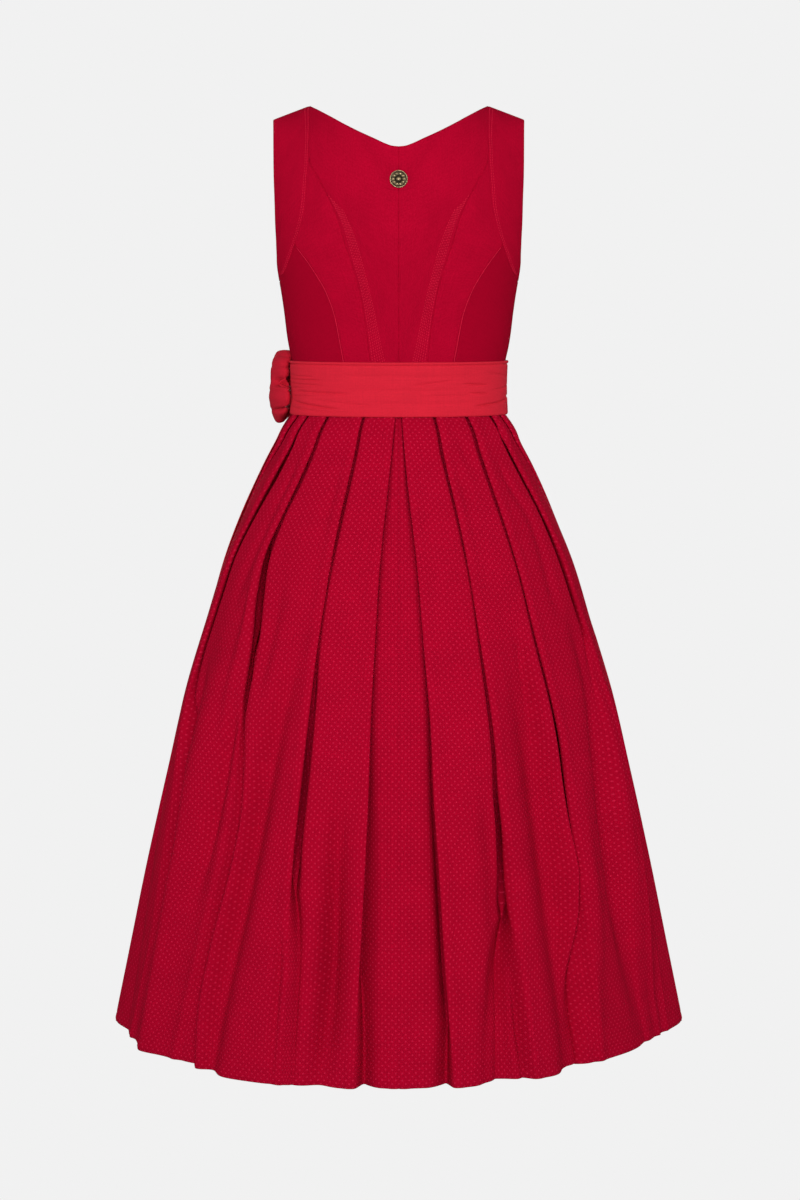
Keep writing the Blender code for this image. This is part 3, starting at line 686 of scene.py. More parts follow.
@dataclass
class Stitching:
    """Rows of machine stitches: one small bead of thread for each, set along lines on the cloth."""

    name: str
    finish: ThreadFinish
    pitch: float = 0.0032
    length: float = 0.0025
    width: float = 0.00095
    height: float = 0.0007
    least: float = 0.85
    most: float = 1.12
    seed: int = 7
    sunk: float = 0.00062
    lines: list[tuple[Array, Array]] = field(default_factory=list)

    def sew(self, points: Array, outward: Array) -> None:
        """Add a row along a line of points, with the directions away from the cloth."""
        if len(points) > 1:
            self.lines.append((points + outward * self.sunk, outward))

    def tree(self) -> tuple[bpy.types.NodeTree, dict[str, str]]:
        """The node tree that turns lines into stitches.

        Returns:
            The tree, and the identifiers of its inputs by name.
        """
        tree = bpy.data.node_groups.new(f"{self.name}_rows", "GeometryNodeTree")
        tree.interface.new_socket("Lines", in_out="INPUT", socket_type="NodeSocketGeometry")
        identifiers = {
            label: tree.interface.new_socket(label, in_out="INPUT", socket_type=kind).identifier
            for label, kind in (("Pitch", "NodeSocketFloat"), ("Size", "NodeSocketVector"),
                                ("Least", "NodeSocketFloat"), ("Most", "NodeSocketFloat"),
                                ("Seed", "NodeSocketInt"), ("Thread", "NodeSocketMaterial"))}
        tree.interface.new_socket("Stitches", in_out="OUTPUT", socket_type="NodeSocketGeometry")
        wiring = Wiring(tree)
        given = wiring.add("NodeGroupInput").outputs
        curve = wiring.out("GeometryNodeMeshToCurve", {0: given["Lines"]})
        spaced = wiring.out("GeometryNodeResampleCurve", {"Curve": curve, "Length": given["Pitch"]},
                            mode="LENGTH")
        outward = wiring.add("GeometryNodeInputNamedAttribute", {"Name": "outward"},
                             data_type="FLOAT_VECTOR").outputs["Attribute"]
        tangent = wiring.out("GeometryNodeInputTangent")
        turned = wiring.out("FunctionNodeAxesToRotation", {
            "Primary Axis": outward, "Secondary Axis": tangent},
            primary_axis="Z", secondary_axis="X")
        uneven = wiring.add("FunctionNodeRandomValue", {2: given["Least"], 3: given["Most"],
                                                        "Seed": given["Seed"]}).outputs[1]
        size = wiring.out("ShaderNodeVectorMath", {0: given["Size"], "Scale": uneven},
                          operation="SCALE")
        bead = wiring.out("GeometryNodeMeshIcoSphere", {"Radius": 0.5, "Subdivisions": 1})
        beads = wiring.out("GeometryNodeInstanceOnPoints", {
            "Points": spaced, "Instance": bead, "Rotation": turned, "Scale": size})
        real = wiring.out("GeometryNodeRealizeInstances", {0: beads})
        soft = wiring.out("GeometryNodeSetShadeSmooth", {0: real})
        dyed = wiring.out("GeometryNodeSetMaterial", {0: soft, "Material": given["Thread"]})
        wiring.feed(wiring.add("NodeGroupOutput").inputs["Stitches"], dyed)
        return tree, identifiers

    def build(self, finishes: Finishes) -> None:
        """Sew all rows as one piece."""
        starts = np.cumsum([0, *(len(points) for points, _ in self.lines)])
        edges = np.concatenate([np.column_stack([np.arange(low, high - 1), np.arange(low + 1, high)])
                                for low, high in zip(starts[:-1], starts[1:])])
        mesh = bpy.data.meshes.new(self.name)
        points, away = (np.concatenate(part) for part in zip(*self.lines))
        mesh.from_pydata(points.tolist(), edges.tolist(), [])
        facing = mesh.attributes.new("outward", "FLOAT_VECTOR", "POINT")
        facing.data.foreach_set("vector", away.ravel())
        piece = add_object(self.name, mesh)
        tree, identifiers = self.tree()
        rows = piece.modifiers.new("rows", "NODES")
        rows.node_group = tree
        values = {"Pitch": self.pitch, "Size": (self.length, self.width, self.height),
                  "Least": self.least, "Most": self.most, "Seed": self.seed,
                  "Thread": finishes.made[self.finish.name]}
        for label, value in values.items():
            rows[identifiers[label]] = value
        graph = bpy.context.evaluated_depsgraph_get()
        sewn = bpy.data.meshes.new_from_object(piece.evaluated_get(graph), depsgraph=graph)
        piece.modifiers.clear()
        piece.data = sewn
        dress(piece, ())


# Bodice

@dataclass
class Bodice:
    """The fitted top: fourteen panels and their seams.

    body holds height, half width, back depth and front depth, and the bands hold a height and a
    distance from the seam. Seams and necklines hold the distance from the centre and the height,
    on the wearer's right.
    """

    waist: float = -0.333
    underarm: float = -0.206
    neck_half_width: float = 0.1055
    slope: float = 0.37
    shoulder_round: float = 0.085
    shoulder_arc: float = 0.12
    settling_steps: int = 12
    end_falloff: int = 3
    bust_out: float = 0.02
    bust_x: float = 0.072
    bust_height: float = -0.195
    bust_spread_x: float = 0.04
    bust_spread_z: float = 0.048
    seam_gap: float = 0.0001
    body_radius: float = 0.1
    fineness: int = 5
    wall: float = 0.0011
    edge_lines: tuple[float, ...] = (0.06, 0.16, 0.32, 0.6)
    seam_dip: float = 0.0006
    seam_dip_width: float = 0.0024
    seam_groove: float = 0.0007
    seam_groove_width: float = 0.0007
    piping: float = 0.0009
    piping_in: float = 0.0009
    piping_width: float = 0.0008
    cord_pitch: float = 0.0011
    cord_length: float = 0.0018
    band_rows: int = 6
    band_reach: Point = (-0.31, -0.098)
    band_near: Table = metres((-333, 2.8), (-200, 8), (-130, 14), (-90, 12))
    band_far: Table = metres((-333, 21.5), (-260, 27), (-200, 30), (-130, 36), (-90, 36))
    yoke_rows: tuple[float, ...] = (0.0025, 0.0065)
    yoke_reach: Point = (-0.198, -0.004)
    piping_reach: Point = (-0.33, -0.166)
    body: Table = metres(
        (-340, 126, 89, 87.2), (-333, 126, 89, 87.2), (-300, 127.2, 89.3, 87.2), (-286, 130.3, 91.5, 93),
        (-272, 132.7, 93, 96.5), (-243, 136.2, 96, 102), (-215, 140.3, 99, 107),
        (-186, 145.8, 101.5, 109), (-150, 153, 103, 107), (-100, 158.5, 101, 96), (-50, 160, 93, 80),
        (60, 160, 80, 62))
    back_neckline: Table = metres(
        (0, -50.8), (8, -50), (16.5, -47), (28, -41.5), (45, -33.5), (64, -23.5), (82, -13), (96, -5),
        (105.5, 0))
    back_yoke: Table = metres(
        (140.5, -204.5), (131, -187), (121.5, -162), (114.5, -140), (108.5, -110), (105.6, -66),
        (104.5, -31), (105.5, 0))
    back_princess: Table = metres(
        (31, -333), (33, -300), (37.5, -265), (48, -208), (59, -173), (73, -128), (84, -104), (93.5, -87),
        (104.4, -66))
    side_panel: Table = metres(
        (60.5, -333), (63.5, -299), (71.5, -256), (83.5, -219), (93.5, -201), (105.5, -183),
        (121.5, -162))
    back_armhole: Table = metres(
        (144.3, -190), (144.8, -170), (145.5, -145), (146.8, -100), (148, -50), (149, -16.1))
    front_armhole: Table = metres(
        (141.5, -190), (139.5, -170), (137.5, -140), (137, -100), (141.5, -50), (149, -16.1))
    front_yoke: Table = metres((138.5, -198), (130, -168), (110, -133), (93, -112))
    front_princess: Table = metres((46, -333), (50, -300), (62, -245), (74, -195), (85, -150), (93, -112))
    front_neck_side: Table = metres((93, -112), (98, -80), (102, -40), (105.5, 0))
    front_neckline: Table = metres((93, -112), (70, -119), (40, -123), (15, -127), (0, -130))

    def drop_of(self, reach: Array) -> tuple[Array, Array]:
        """Height lost, and share of the full depth gained, this far down over the shoulder."""
        turn = np.clip(reach / self.shoulder_arc, 0.0, 1.0) * math.pi / 2
        drop = self.shoulder_round * (1 - np.cos(turn)) + np.maximum(reach - self.shoulder_arc, 0.0)
        return drop, np.sin(turn)

    def reach_of(self, drop: Array) -> Array:
        """How far down over the shoulder a height lies."""
        turn = np.arccos(np.clip(1 - drop / self.shoulder_round, 0.0, 1.0))
        return self.shoulder_arc * turn / (math.pi / 2) + np.maximum(drop - self.shoulder_round, 0.0)

    def shoulder_height(self, x: Array | float) -> Array:
        """Height of the shoulder ridge at a distance from the centre."""
        return self.slope * (self.neck_half_width - np.abs(x))

    def surface(self, angle: Array, reach: Array) -> Array:
        """Points of the bodice.

        Args:
            angle: Angles round the body, in radians.
            reach: Distances down from the shoulder ridge.

        Returns:
            The points, with X, Y, Z as the last axis.
        """
        drop, fullness = self.drop_of(reach)
        height = -drop
        for _ in range(self.settling_steps):
            x = read_table(self.body, 1, height) * np.sin(angle)
            height = self.shoulder_height(x) - drop
        depth = section_at(self.body, angle, height)[1]
        bust = self.bust_out * np.exp(-((np.abs(x) - self.bust_x) / self.bust_spread_x) ** 2 / 2
                                      - ((height - self.bust_height) / self.bust_spread_z) ** 2 / 2)
        y = -depth * np.cos(angle) * fullness
        y = y + bust * np.clip(-np.cos(angle), 0.0, 1.0) ** 0.5 * fullness
        return np.stack([x, y, height], axis=-1)

    def on_pattern(self, points: Table | list[Point], front: bool) -> Array:
        """Turn distances from the centre and heights into angles and reaches."""
        x, height = np.array(points, float).T
        angle = np.arcsin(np.clip(x / read_table(self.body, 1, height), -1.0, 1.0))
        if front:
            angle = math.pi - angle
        return np.stack([angle, self.reach_of(self.shoulder_height(x) - height)], axis=-1)

    def seam(self, points: Table | list[Point], gaps: int, front: bool = False) -> Array:
        """Pattern points along a smooth line.

        Args:
            points: The line, as distances from the centre and heights.
            gaps: How many equal gaps it has, before the fineness.
            front: Whether it lies on the front.

        Returns:
            Angles and reaches.
        """
        pattern = self.on_pattern(points, front)
        along = np.concatenate([[0.0], np.cumsum(np.linalg.norm(np.diff(pattern, axis=0), axis=1))])
        wanted = np.linspace(0.0, along[-1], gaps * self.fineness + 1)
        rows = np.column_stack([along, pattern])
        return np.column_stack([read_table(rows, 1, wanted), read_table(rows, 2, wanted)])

    def neckline(self, points: Table, gaps: int, front: bool = False) -> Array:
        """Pattern points along a neckline, evenly spaced across the body."""
        known = np.array(points, float)
        across = np.linspace(known[0, 0], known[-1, 0], gaps * self.fineness + 1)
        return self.on_pattern(np.column_stack([across, read_table(known, 1, across)]), front)

    def level(self, start: float, end: float, gaps: int, front: bool = False) -> Array:
        """Pattern points along the waist between two distances from the centre."""
        return self.seam([(x, self.waist) for x in np.linspace(start, end, 5)], gaps, front)

    def upright(self, top: float, gaps: int, front: bool = False) -> Array:
        """Pattern points up the centre from the waist."""
        return self.seam([(0.0, height) for height in np.linspace(self.waist, top, 5)], gaps, front)

    def fill(self, bottom: Array, top: Array, left: Array,
             right: Array) -> Array:
        """Pattern points inside four edges.

        Args:
            bottom: The lower edge, from left to right.
            top: The upper edge, from left to right.
            left: The left edge, upwards.
            right: The right edge, upwards.

        Returns:
            A grid of angles and reaches, drawn in by half a seam gap.
        """
        u = np.linspace(0.0, 1.0, len(bottom))[None, :, None]
        v = np.linspace(0.0, 1.0, len(left))[:, None, None]
        bottom, top, left, right = bottom[None], top[None], left[:, None], right[:, None]
        bottom_curve = bottom - ((1 - u) * bottom[:, :1] + u * bottom[:, -1:])
        top_curve = top - ((1 - u) * top[:, :1] + u * top[:, -1:])
        grid = ((1 - u) * left + u * right + bottom_curve * (1 - v) ** self.end_falloff
                + top_curve * v ** self.end_falloff)
        half = self.seam_gap / 2
        grid[:, 0, 0] += half / self.body_radius
        grid[:, -1, 0] -= half / self.body_radius
        grid[-1, :, 1] += half
        return grid

    def patterns(self) -> dict[str, Array]:
        """The pattern of each panel of the wearer's right, by its solid's name."""
        waist_half = float(read_table(self.body, 1, self.waist))
        underarm = (float(read_table(self.body, 1, self.underarm)), self.underarm)
        side = [(float(read_table(self.body, 1, height)), height)
                for height in np.linspace(self.waist, self.underarm, 6)]
        junction, cap = self.side_panel[-1][1], self.back_princess[-1][1]
        princess_x, side_x = self.back_princess[0][0], self.side_panel[0][0]
        yoke_low = self.seam([point for point in self.back_yoke if point[1] <= junction], 3)
        yoke_mid = self.seam([point for point in self.back_yoke if junction <= point[1] <= cap], 4)
        yoke_high = self.seam([point for point in self.back_yoke if point[1] >= cap], 4)
        princess = self.seam(self.back_princess, 10)
        side_panel = self.seam(self.side_panel, 6)
        front_princess = self.seam(self.front_princess, 6, True)
        front_yoke = self.seam(self.front_yoke, 4, True)
        front_x = self.front_princess[0][0]
        return {
            "back_centre": self.fill(
                self.level(0.0, princess_x, 7), self.neckline(self.back_neckline, 7),
                self.upright(self.back_neckline[0][1], 14), chain(princess, yoke_high)),
            "back_middle": self.fill(
                self.level(princess_x, side_x, 2),
                self.seam([self.back_princess[-1], self.back_yoke[5]], 2),
                princess, chain(side_panel, yoke_mid)),
            "back_side": self.fill(
                self.level(side_x, waist_half, 4),
                chain(yoke_low[::-1], self.seam([self.back_yoke[0], underarm], 1)),
                side_panel, self.seam(side, 6)),
            "back_yoke": self.fill(
                self.seam([self.back_yoke[0], underarm], 3),
                self.seam([self.back_yoke[-1], self.back_armhole[-1]], 3),
                chain(yoke_low, yoke_mid, yoke_high), self.seam([underarm, *self.back_armhole], 11)),
            "front_yoke": self.fill(
                self.seam([underarm, self.front_yoke[0]], 3, True),
                self.seam([self.front_armhole[-1], self.front_neck_side[-1]], 3, True),
                self.seam([underarm, *self.front_armhole], 9, True),
                chain(front_yoke, self.seam(self.front_neck_side, 5, True))),
            "front_side": self.fill(
                self.level(waist_half, front_x, 5, True),
                chain(self.seam([underarm, self.front_yoke[0]], 1, True), front_yoke),
                self.seam(side, 6, True), front_princess),
            "front_centre": self.fill(
                self.level(front_x, 0.0, 5, True), self.neckline(self.front_neckline, 5, True),
                front_princess, self.upright(self.front_neckline[-1][1], 6, True)),
        }

    def soften(self, cloth: ClothGrid, piped: bool, beside_piping: bool) -> ClothGrid:
        """Let the cloth dip towards its left, right and top edges, as it does at a seam.

        Args:
            cloth: The panel.
            piped: Whether its left edge stands up as a narrow ridge instead.
            beside_piping: Whether its right edge lies flat against such a ridge.

        Returns:
            The panel with its edges shaped.
        """
        across, along = run_lengths(cloth.points, 1), run_lengths(cloth.points, 0)
        edge = along[-1:] - along
        if not beside_piping:
            edge = np.minimum(edge, across[:, -1:] - across)
        if not piped:
            edge = np.minimum(edge, across)
        lift = (-self.seam_dip * (1 - smooth_step(edge / self.seam_dip_width))
                - self.seam_groove * (1 - smooth_step(edge / self.seam_groove_width)))
        if piped:
            lift = lift + self.piping * bell(across - self.piping_in, self.piping_width)
        return cloth.pushed(lift)

    def beside_seam(self, cloth: ClothGrid, offsets: Table | list[Point] | float, reach: Point,
                    right: bool) -> tuple[Array, Array]:
        """A line on a panel beside its left or right edge.

        Args:
            cloth: The panel.
            offsets: Distance from the edge, or a table of it by height.
            reach: The lowest and highest height of the line.
            right: Whether the edge is the right one.

        Returns:
            The line's points and the directions away from the cloth.
        """
        across = run_lengths(cloth.points, 1)
        height = cloth.points[:, -1 if right else 0, 2]
        if isinstance(offsets, float):
            offset = np.full_like(height, offsets)
        else:
            offset = read_table(offsets, 1, height)
        at = across[:, -1] - offset if right else offset
        known = cloth.with_directions()
        rows = np.flatnonzero((height >= reach[0]) & (height <= reach[1]) & (at > 0.0))
        line = np.array([[np.interp(at[row], across[row], known[row, :, part]) for part in range(6)]
                         for row in rows])
        return line[:, :3], line[:, 3:]

    def sew(self, sheets: dict[str, ClothGrid], finishes: Finishes) -> None:
        """Sew the stitched bands, the rows along the yokes and the ridge of the side panels."""
        stitches = Stitching("bodice_stitches", finishes.thread)
        rows = []
        for share in np.linspace(0.0, 1.0, self.band_rows):
            offsets = []
            for height, near in self.band_near:
                far = float(read_table(self.band_far, 1, height))
                offsets.append((height, (1 - share) * near + share * far))
            rows.append(self.beside_seam(sheets["back_centre"], offsets, self.band_reach, True))
        for offset in self.yoke_rows:
            for name, right in (("back_yoke", False), ("front_yoke", True)):
                rows.append(self.beside_seam(sheets[name], offset, self.yoke_reach, right))
        cord = Stitching("side_piping", finishes.thread, self.cord_pitch, self.cord_length)
        ridge = self.beside_seam(sheets["back_side"], self.piping_in, self.piping_reach, False)
        for sewn, lines in ((stitches, rows), (cord, [ridge])):
            for points, outward in lines:
                for side in Side:
                    sewn.sew(points * (side.value, 1, 1), outward * (side.value, 1, 1))
            sewn.build(finishes)

    def build(self, finishes: Finishes) -> None:
        """Make the panels of both sides and their stitches."""
        sheets = {}
        for name, pattern in self.patterns().items():
            finish = finishes.side if name.endswith("_side") else finishes.bodice
            material = finishes.made[finish.name]
            cloth = ClothGrid.measured(self.surface(pattern[..., 0], pattern[..., 1]))
            cloth = self.soften(cloth.with_edge_lines(self.edge_lines), name == "back_side",
                                name == "back_middle")
            sheets[name] = cloth
            size = np.ptp(cloth.place.reshape(-1, 2), axis=0)
            cut = Cut(float(size[0]), float(size[1]), Held.STRETCHED, cloth.area())
            for side in Side:
                sheet = cloth if side is Side.RIGHT else cloth.mirrored()
                node = f"{name}_{side.name.lower()}"
                piece = sheet.shell(f"{node}_cloth", material, self.wall)
                dress(piece, (node,))
        self.sew(sheets, finishes)


def chain(*lines: Array) -> Array:
    """One edge made of lines that follow each other."""
    return np.concatenate([lines[0], *(line[1:] for line in lines[1:])])


# Skirt

class Fold(NamedTuple):
    """An outer fold line of the skirt.

    crest is how far the line stands out at the hem. Each row of the line holds a height, the
    angle, how far the cloth doubles back under the line (negative where the pleat has opened),
    how deep the trough beside it lies and over what length the cloth before it turns down.
    """

    crest: float
    line: Table


def folds(*tables: tuple) -> tuple[Fold, ...]:
    """Folds from the crest and the rows of each, in millimetres and degrees."""
    return tuple(Fold(crest / 1000, metres(*rows, angle=1)) for crest, *rows in tables)


class Width(NamedTuple):
    """The points of one width of cloth, and which of them lie on the faces of the pleats."""

    points: Array
    on_face: Array


@dataclass
class Skirt:
    """The pleated skirt: four widths of printed cotton, sewn together in the folds.

    sections holds height, half width, back depth and front depth along the outer folds, and
    centre_lift a height and how far the cloth of the centre back lies outside them.
    """

    top: float = -0.3342
    hem: float = -1.105
    hip: float = -0.5
    layer_step: float = 0.0019
    fold_lean: float = 0.18
    fold_step: float = 0.1
    ridge: float = 0.0019
    ridge_width: float = 0.006
    near_stations: tuple[float, ...] = (0.003, 0.007, 0.013)
    near_parts: int = 10
    flat_stations: tuple[float, ...] = (0.2, 0.4, 0.6, 0.8, 1.0)
    turned_stations: tuple[float, ...] = (0.66, 0.36, 0.12, 0.0)
    most_turned: float = 0.5
    tight_turn: float = 0.01
    face_droop: float = 0.18
    front_turn: float = 0.02
    seam_folds: tuple[int, int] = (2, 6)
    seam_lap: float = 0.0015
    seam_step: float = 0.001
    rounding: float = 3.0
    row_step: float = 0.005
    hem_rows: tuple[float, ...] = (0.0, 0.001, 0.0022, 0.0038, 0.0065, 0.009, 0.0105, 0.012)
    hem_curl: float = 0.0012
    hem_curl_height: float = 0.004
    hem_fold_height: float = 0.0105
    hem_fold_depth: float = 0.00035
    hem_fold_width: float = 0.0012
    column_step: float = 0.0032
    most_steps: int = 6
    wall: float = 0.0006
    centre_lift: Table = metres(
        (-334.2, -4), (-420, -4), (-500, -3), (-650, 0), (-800, 3), (-950, 10), (-1105, 16.5))
    sections: Table = metres(
        (-334.2, 125.8, 89, 89), (-364, 127.6, 91, 90.5), (-372, 133.5, 96.5, 95.5),
        (-382, 139.8, 103, 101.5), (-400, 146.8, 112, 110.5), (-430, 160.8, 127, 125),
        (-475, 182.2, 147, 145), (-535, 208, 171, 169), (-610, 232.7, 196, 194), (-700, 261.2, 222, 220),
        (-800, 283.2, 248, 245), (-900, 303.4, 270, 266), (-1005, 323.2, 288.5, 283),
        (-1105, 343.2, 305, 298))
    right_folds: tuple[Fold, ...] = folds(
        (18, (-334, 0.9, 35, 7, 6), (-435, 3.5, 31, 9, 6), (-525, 5.8, 30, 8, 7), (-614, 6.9, 27, 8, 7),
         (-702, 7.8, 24, 14, 8), (-789, 8, 22, 22, 9), (-878, 8.6, 19, 30, 10), (-966, 9.1, 14, 32, 12),
         (-1010, 9.4, 8, 28, 14), (-1054, 9.7, 0, 23, 18), (-1105, 10.1, -6, 21, 22)),
        (6, (-334, 19.5, 35, 9, 6), (-390, 20.3, 32, 11, 7), (-480, 22.2, 30, 7, 7),
         (-569, 23.1, 27, 4, 7), (-658, 23.7, 24, 9, 8), (-746, 24, 22, 17, 9), (-789, 23.9, 22, 27, 9),
         (-833, 24.4, 27, 41, 9), (-878, 24.3, 22, 41, 10), (-922, 24.3, 4, 30, 17),
         (-966, 25, -16, 22, 20), (-1010, 25.4, -24, 20, 20), (-1105, 26.2, -40, 16, 24)),
        (-20, (-334, 39.2, 35, 9, 6), (-390, 40.1, 31, 12, 7), (-480, 41.2, 30, 7, 7),
         (-569, 42.3, 26, 5, 7), (-640, 43.5, 22, 11, 8), (-702, 44.9, 23, 18, 8),
         (-746, 46.2, 30, 36, 8), (-789, 46.8, 29, 35, 8), (-833, 46.9, 18, 20, 8),
         (-878, 47.1, 4, 10, 8), (-940, 46.6, -6, 6, 8), (-1010, 45.7, -20, 3, 14),
         (-1105, 45.5, -30, 1, 20)),
        (-20, (-334, 58.8, 35, 9, 6), (-390, 60.8, 31, 12, 6), (-435, 64.4, 28, 15, 7),
         (-480, 67.6, 25, 14, 7), (-525, 69.6, 22, 23, 8), (-570, 70.2, 14, 16, 10),
         (-640, 73.5, -4, 8, 14), (-719, 76.5, -20, 4, 20), (-800, 77.5, -30, 2, 24),
         (-900, 76.5, -32, 2, 24), (-1000, 75, -34, 3, 24), (-1105, 74, -36, 3, 24)),
        (2, (-334, 72, 35, 10, 6), (-390, 75, 30, 11, 7), (-430, 86, 28, 10, 8), (-480, 95, 27, 10, 9),
         (-560, 98, 22, 10, 10), (-700, 98, 6, 10, 14), (-850, 95, -10, 10, 18),
         (-980, 91.5, -32, 12, 22), (-1105, 89, -48, 14, 26)),
        (0, (-334, 105, 35, 8, 6), (-440, 111, 31, 10, 8), (-560, 114, 26, 11, 9),
         (-700, 114.5, 16, 13, 12), (-850, 113.8, 2, 16, 18), (-1105, 113.5, -40, 20, 28)),
        (0, (-334, 129, 35, 8, 6), (-440, 131.5, 31, 9, 7), (-600, 133.5, 24, 10, 8),
         (-800, 134.5, 12, 14, 12), (-1105, 136, -30, 18, 28)),
        (0, (-334, 152.5, 35, 8, 6), (-440, 154, 31, 9, 7), (-600, 156, 25, 10, 8),
         (-800, 158, 14, 13, 12), (-1105, 161, -20, 16, 24)))
    left_folds: tuple[Fold, ...] = folds(
        (20, (-334, 0.9, 35, 6, 6), (-435, 4.1, 31, 7, 6), (-525, 6, 30, 8, 7), (-614, 6.6, 27, 8, 7),
         (-702, 6.9, 24, 12, 9), (-789, 6.9, 21, 20, 12), (-878, 7.2, 15, 25, 18), (-966, 7.6, 5, 26, 27),
         (-1010, 7.8, -2, 24, 36), (-1054, 7.9, -6, 23, 40), (-1105, 8, -8, 22, 40)),
        (24, (-334, 19.1, 35, 9, 6), (-390, 20, 32, 10, 7), (-480, 21.9, 30, 10, 8),
         (-569, 22.7, 28, 5, 7), (-636, 23, 26, 8, 8), (-680, 22.8, 26, 19, 9), (-715, 22.8, 27, 30, 9),
         (-760, 22.9, 29, 40, 9), (-810, 23, 29, 41, 9), (-850, 23, 20, 34, 10), (-885, 22.8, 5, 21, 14),
         (-925, 22.4, -5, 15, 13), (-966, 22, -9, 11, 9), (-1010, 21.7, -9, 10, 8),
         (-1054, 21.5, -9, 9, 8), (-1105, 21.4, -10, 6, 9)),
        (-6, (-334, 40.5, 35, 9, 6), (-390, 42.8, 31, 10, 7), (-435, 45.3, 29, 12, 8),
         (-480, 48.2, 26, 9, 8), (-525, 50.6, 21, 21, 10), (-569, 49.2, 18, 28, 12),
         (-614, 47, 14, 29, 13), (-658, 45.6, 10, 24, 13), (-702, 44.6, 3, 15, 14),
         (-746, 43.4, -4, 10, 12), (-789, 43, -9, 11, 10), (-878, 44.2, -10, 12, 12),
         (-966, 46.8, -12, 10, 14), (-1030, 48.4, -16, 7, 16), (-1105, 50, -30, 4, 20)),
        (-9, (-334, 57.3, 35, 10, 6), (-390, 60.4, 31, 11, 6), (-435, 65.6, 29, 22, 10),
         (-480, 69.6, 26, 18, 9), (-525, 73.6, 30, 20, 9), (-569, 74.4, 32, 22, 10),
         (-614, 75.8, 30, 22, 10), (-658, 76.4, 20, 22, 12), (-702, 76, 0, 24, 16),
         (-760, 75, -20, 20, 22), (-816, 74, -32, 18, 24), (-920, 73.5, -36, 15, 26),
         (-1010, 73, -36, 11, 26), (-1105, 72.5, -34, 4, 24)),
        (2, (-334, 70, 35, 10, 6), (-390, 75, 30, 16, 8), (-430, 87, 28, 12, 8), (-480, 96, 27, 10, 9),
         (-560, 99, 22, 10, 10), (-700, 99, 6, 10, 14), (-850, 95.5, -10, 10, 18),
         (-980, 91.5, -32, 12, 22), (-1105, 89, -48, 14, 26)),
        (0, (-334, 104, 35, 8, 6), (-440, 110.5, 31, 10, 8), (-560, 114.5, 26, 11, 9),
         (-700, 115, 16, 12, 12), (-850, 114, 2, 15, 18), (-1105, 113.5, -38, 20, 28)),
        (0, (-334, 128.5, 35, 8, 6), (-440, 131, 31, 9, 7), (-600, 133.5, 24, 10, 8),
         (-800, 135, 12, 14, 12), (-1105, 137, -30, 18, 28)),
        (0, (-334, 152.5, 35, 8, 6), (-440, 154, 31, 9, 7), (-600, 156, 25, 10, 8),
         (-800, 158, 14, 13, 12), (-1105, 161, -20, 16, 24)))

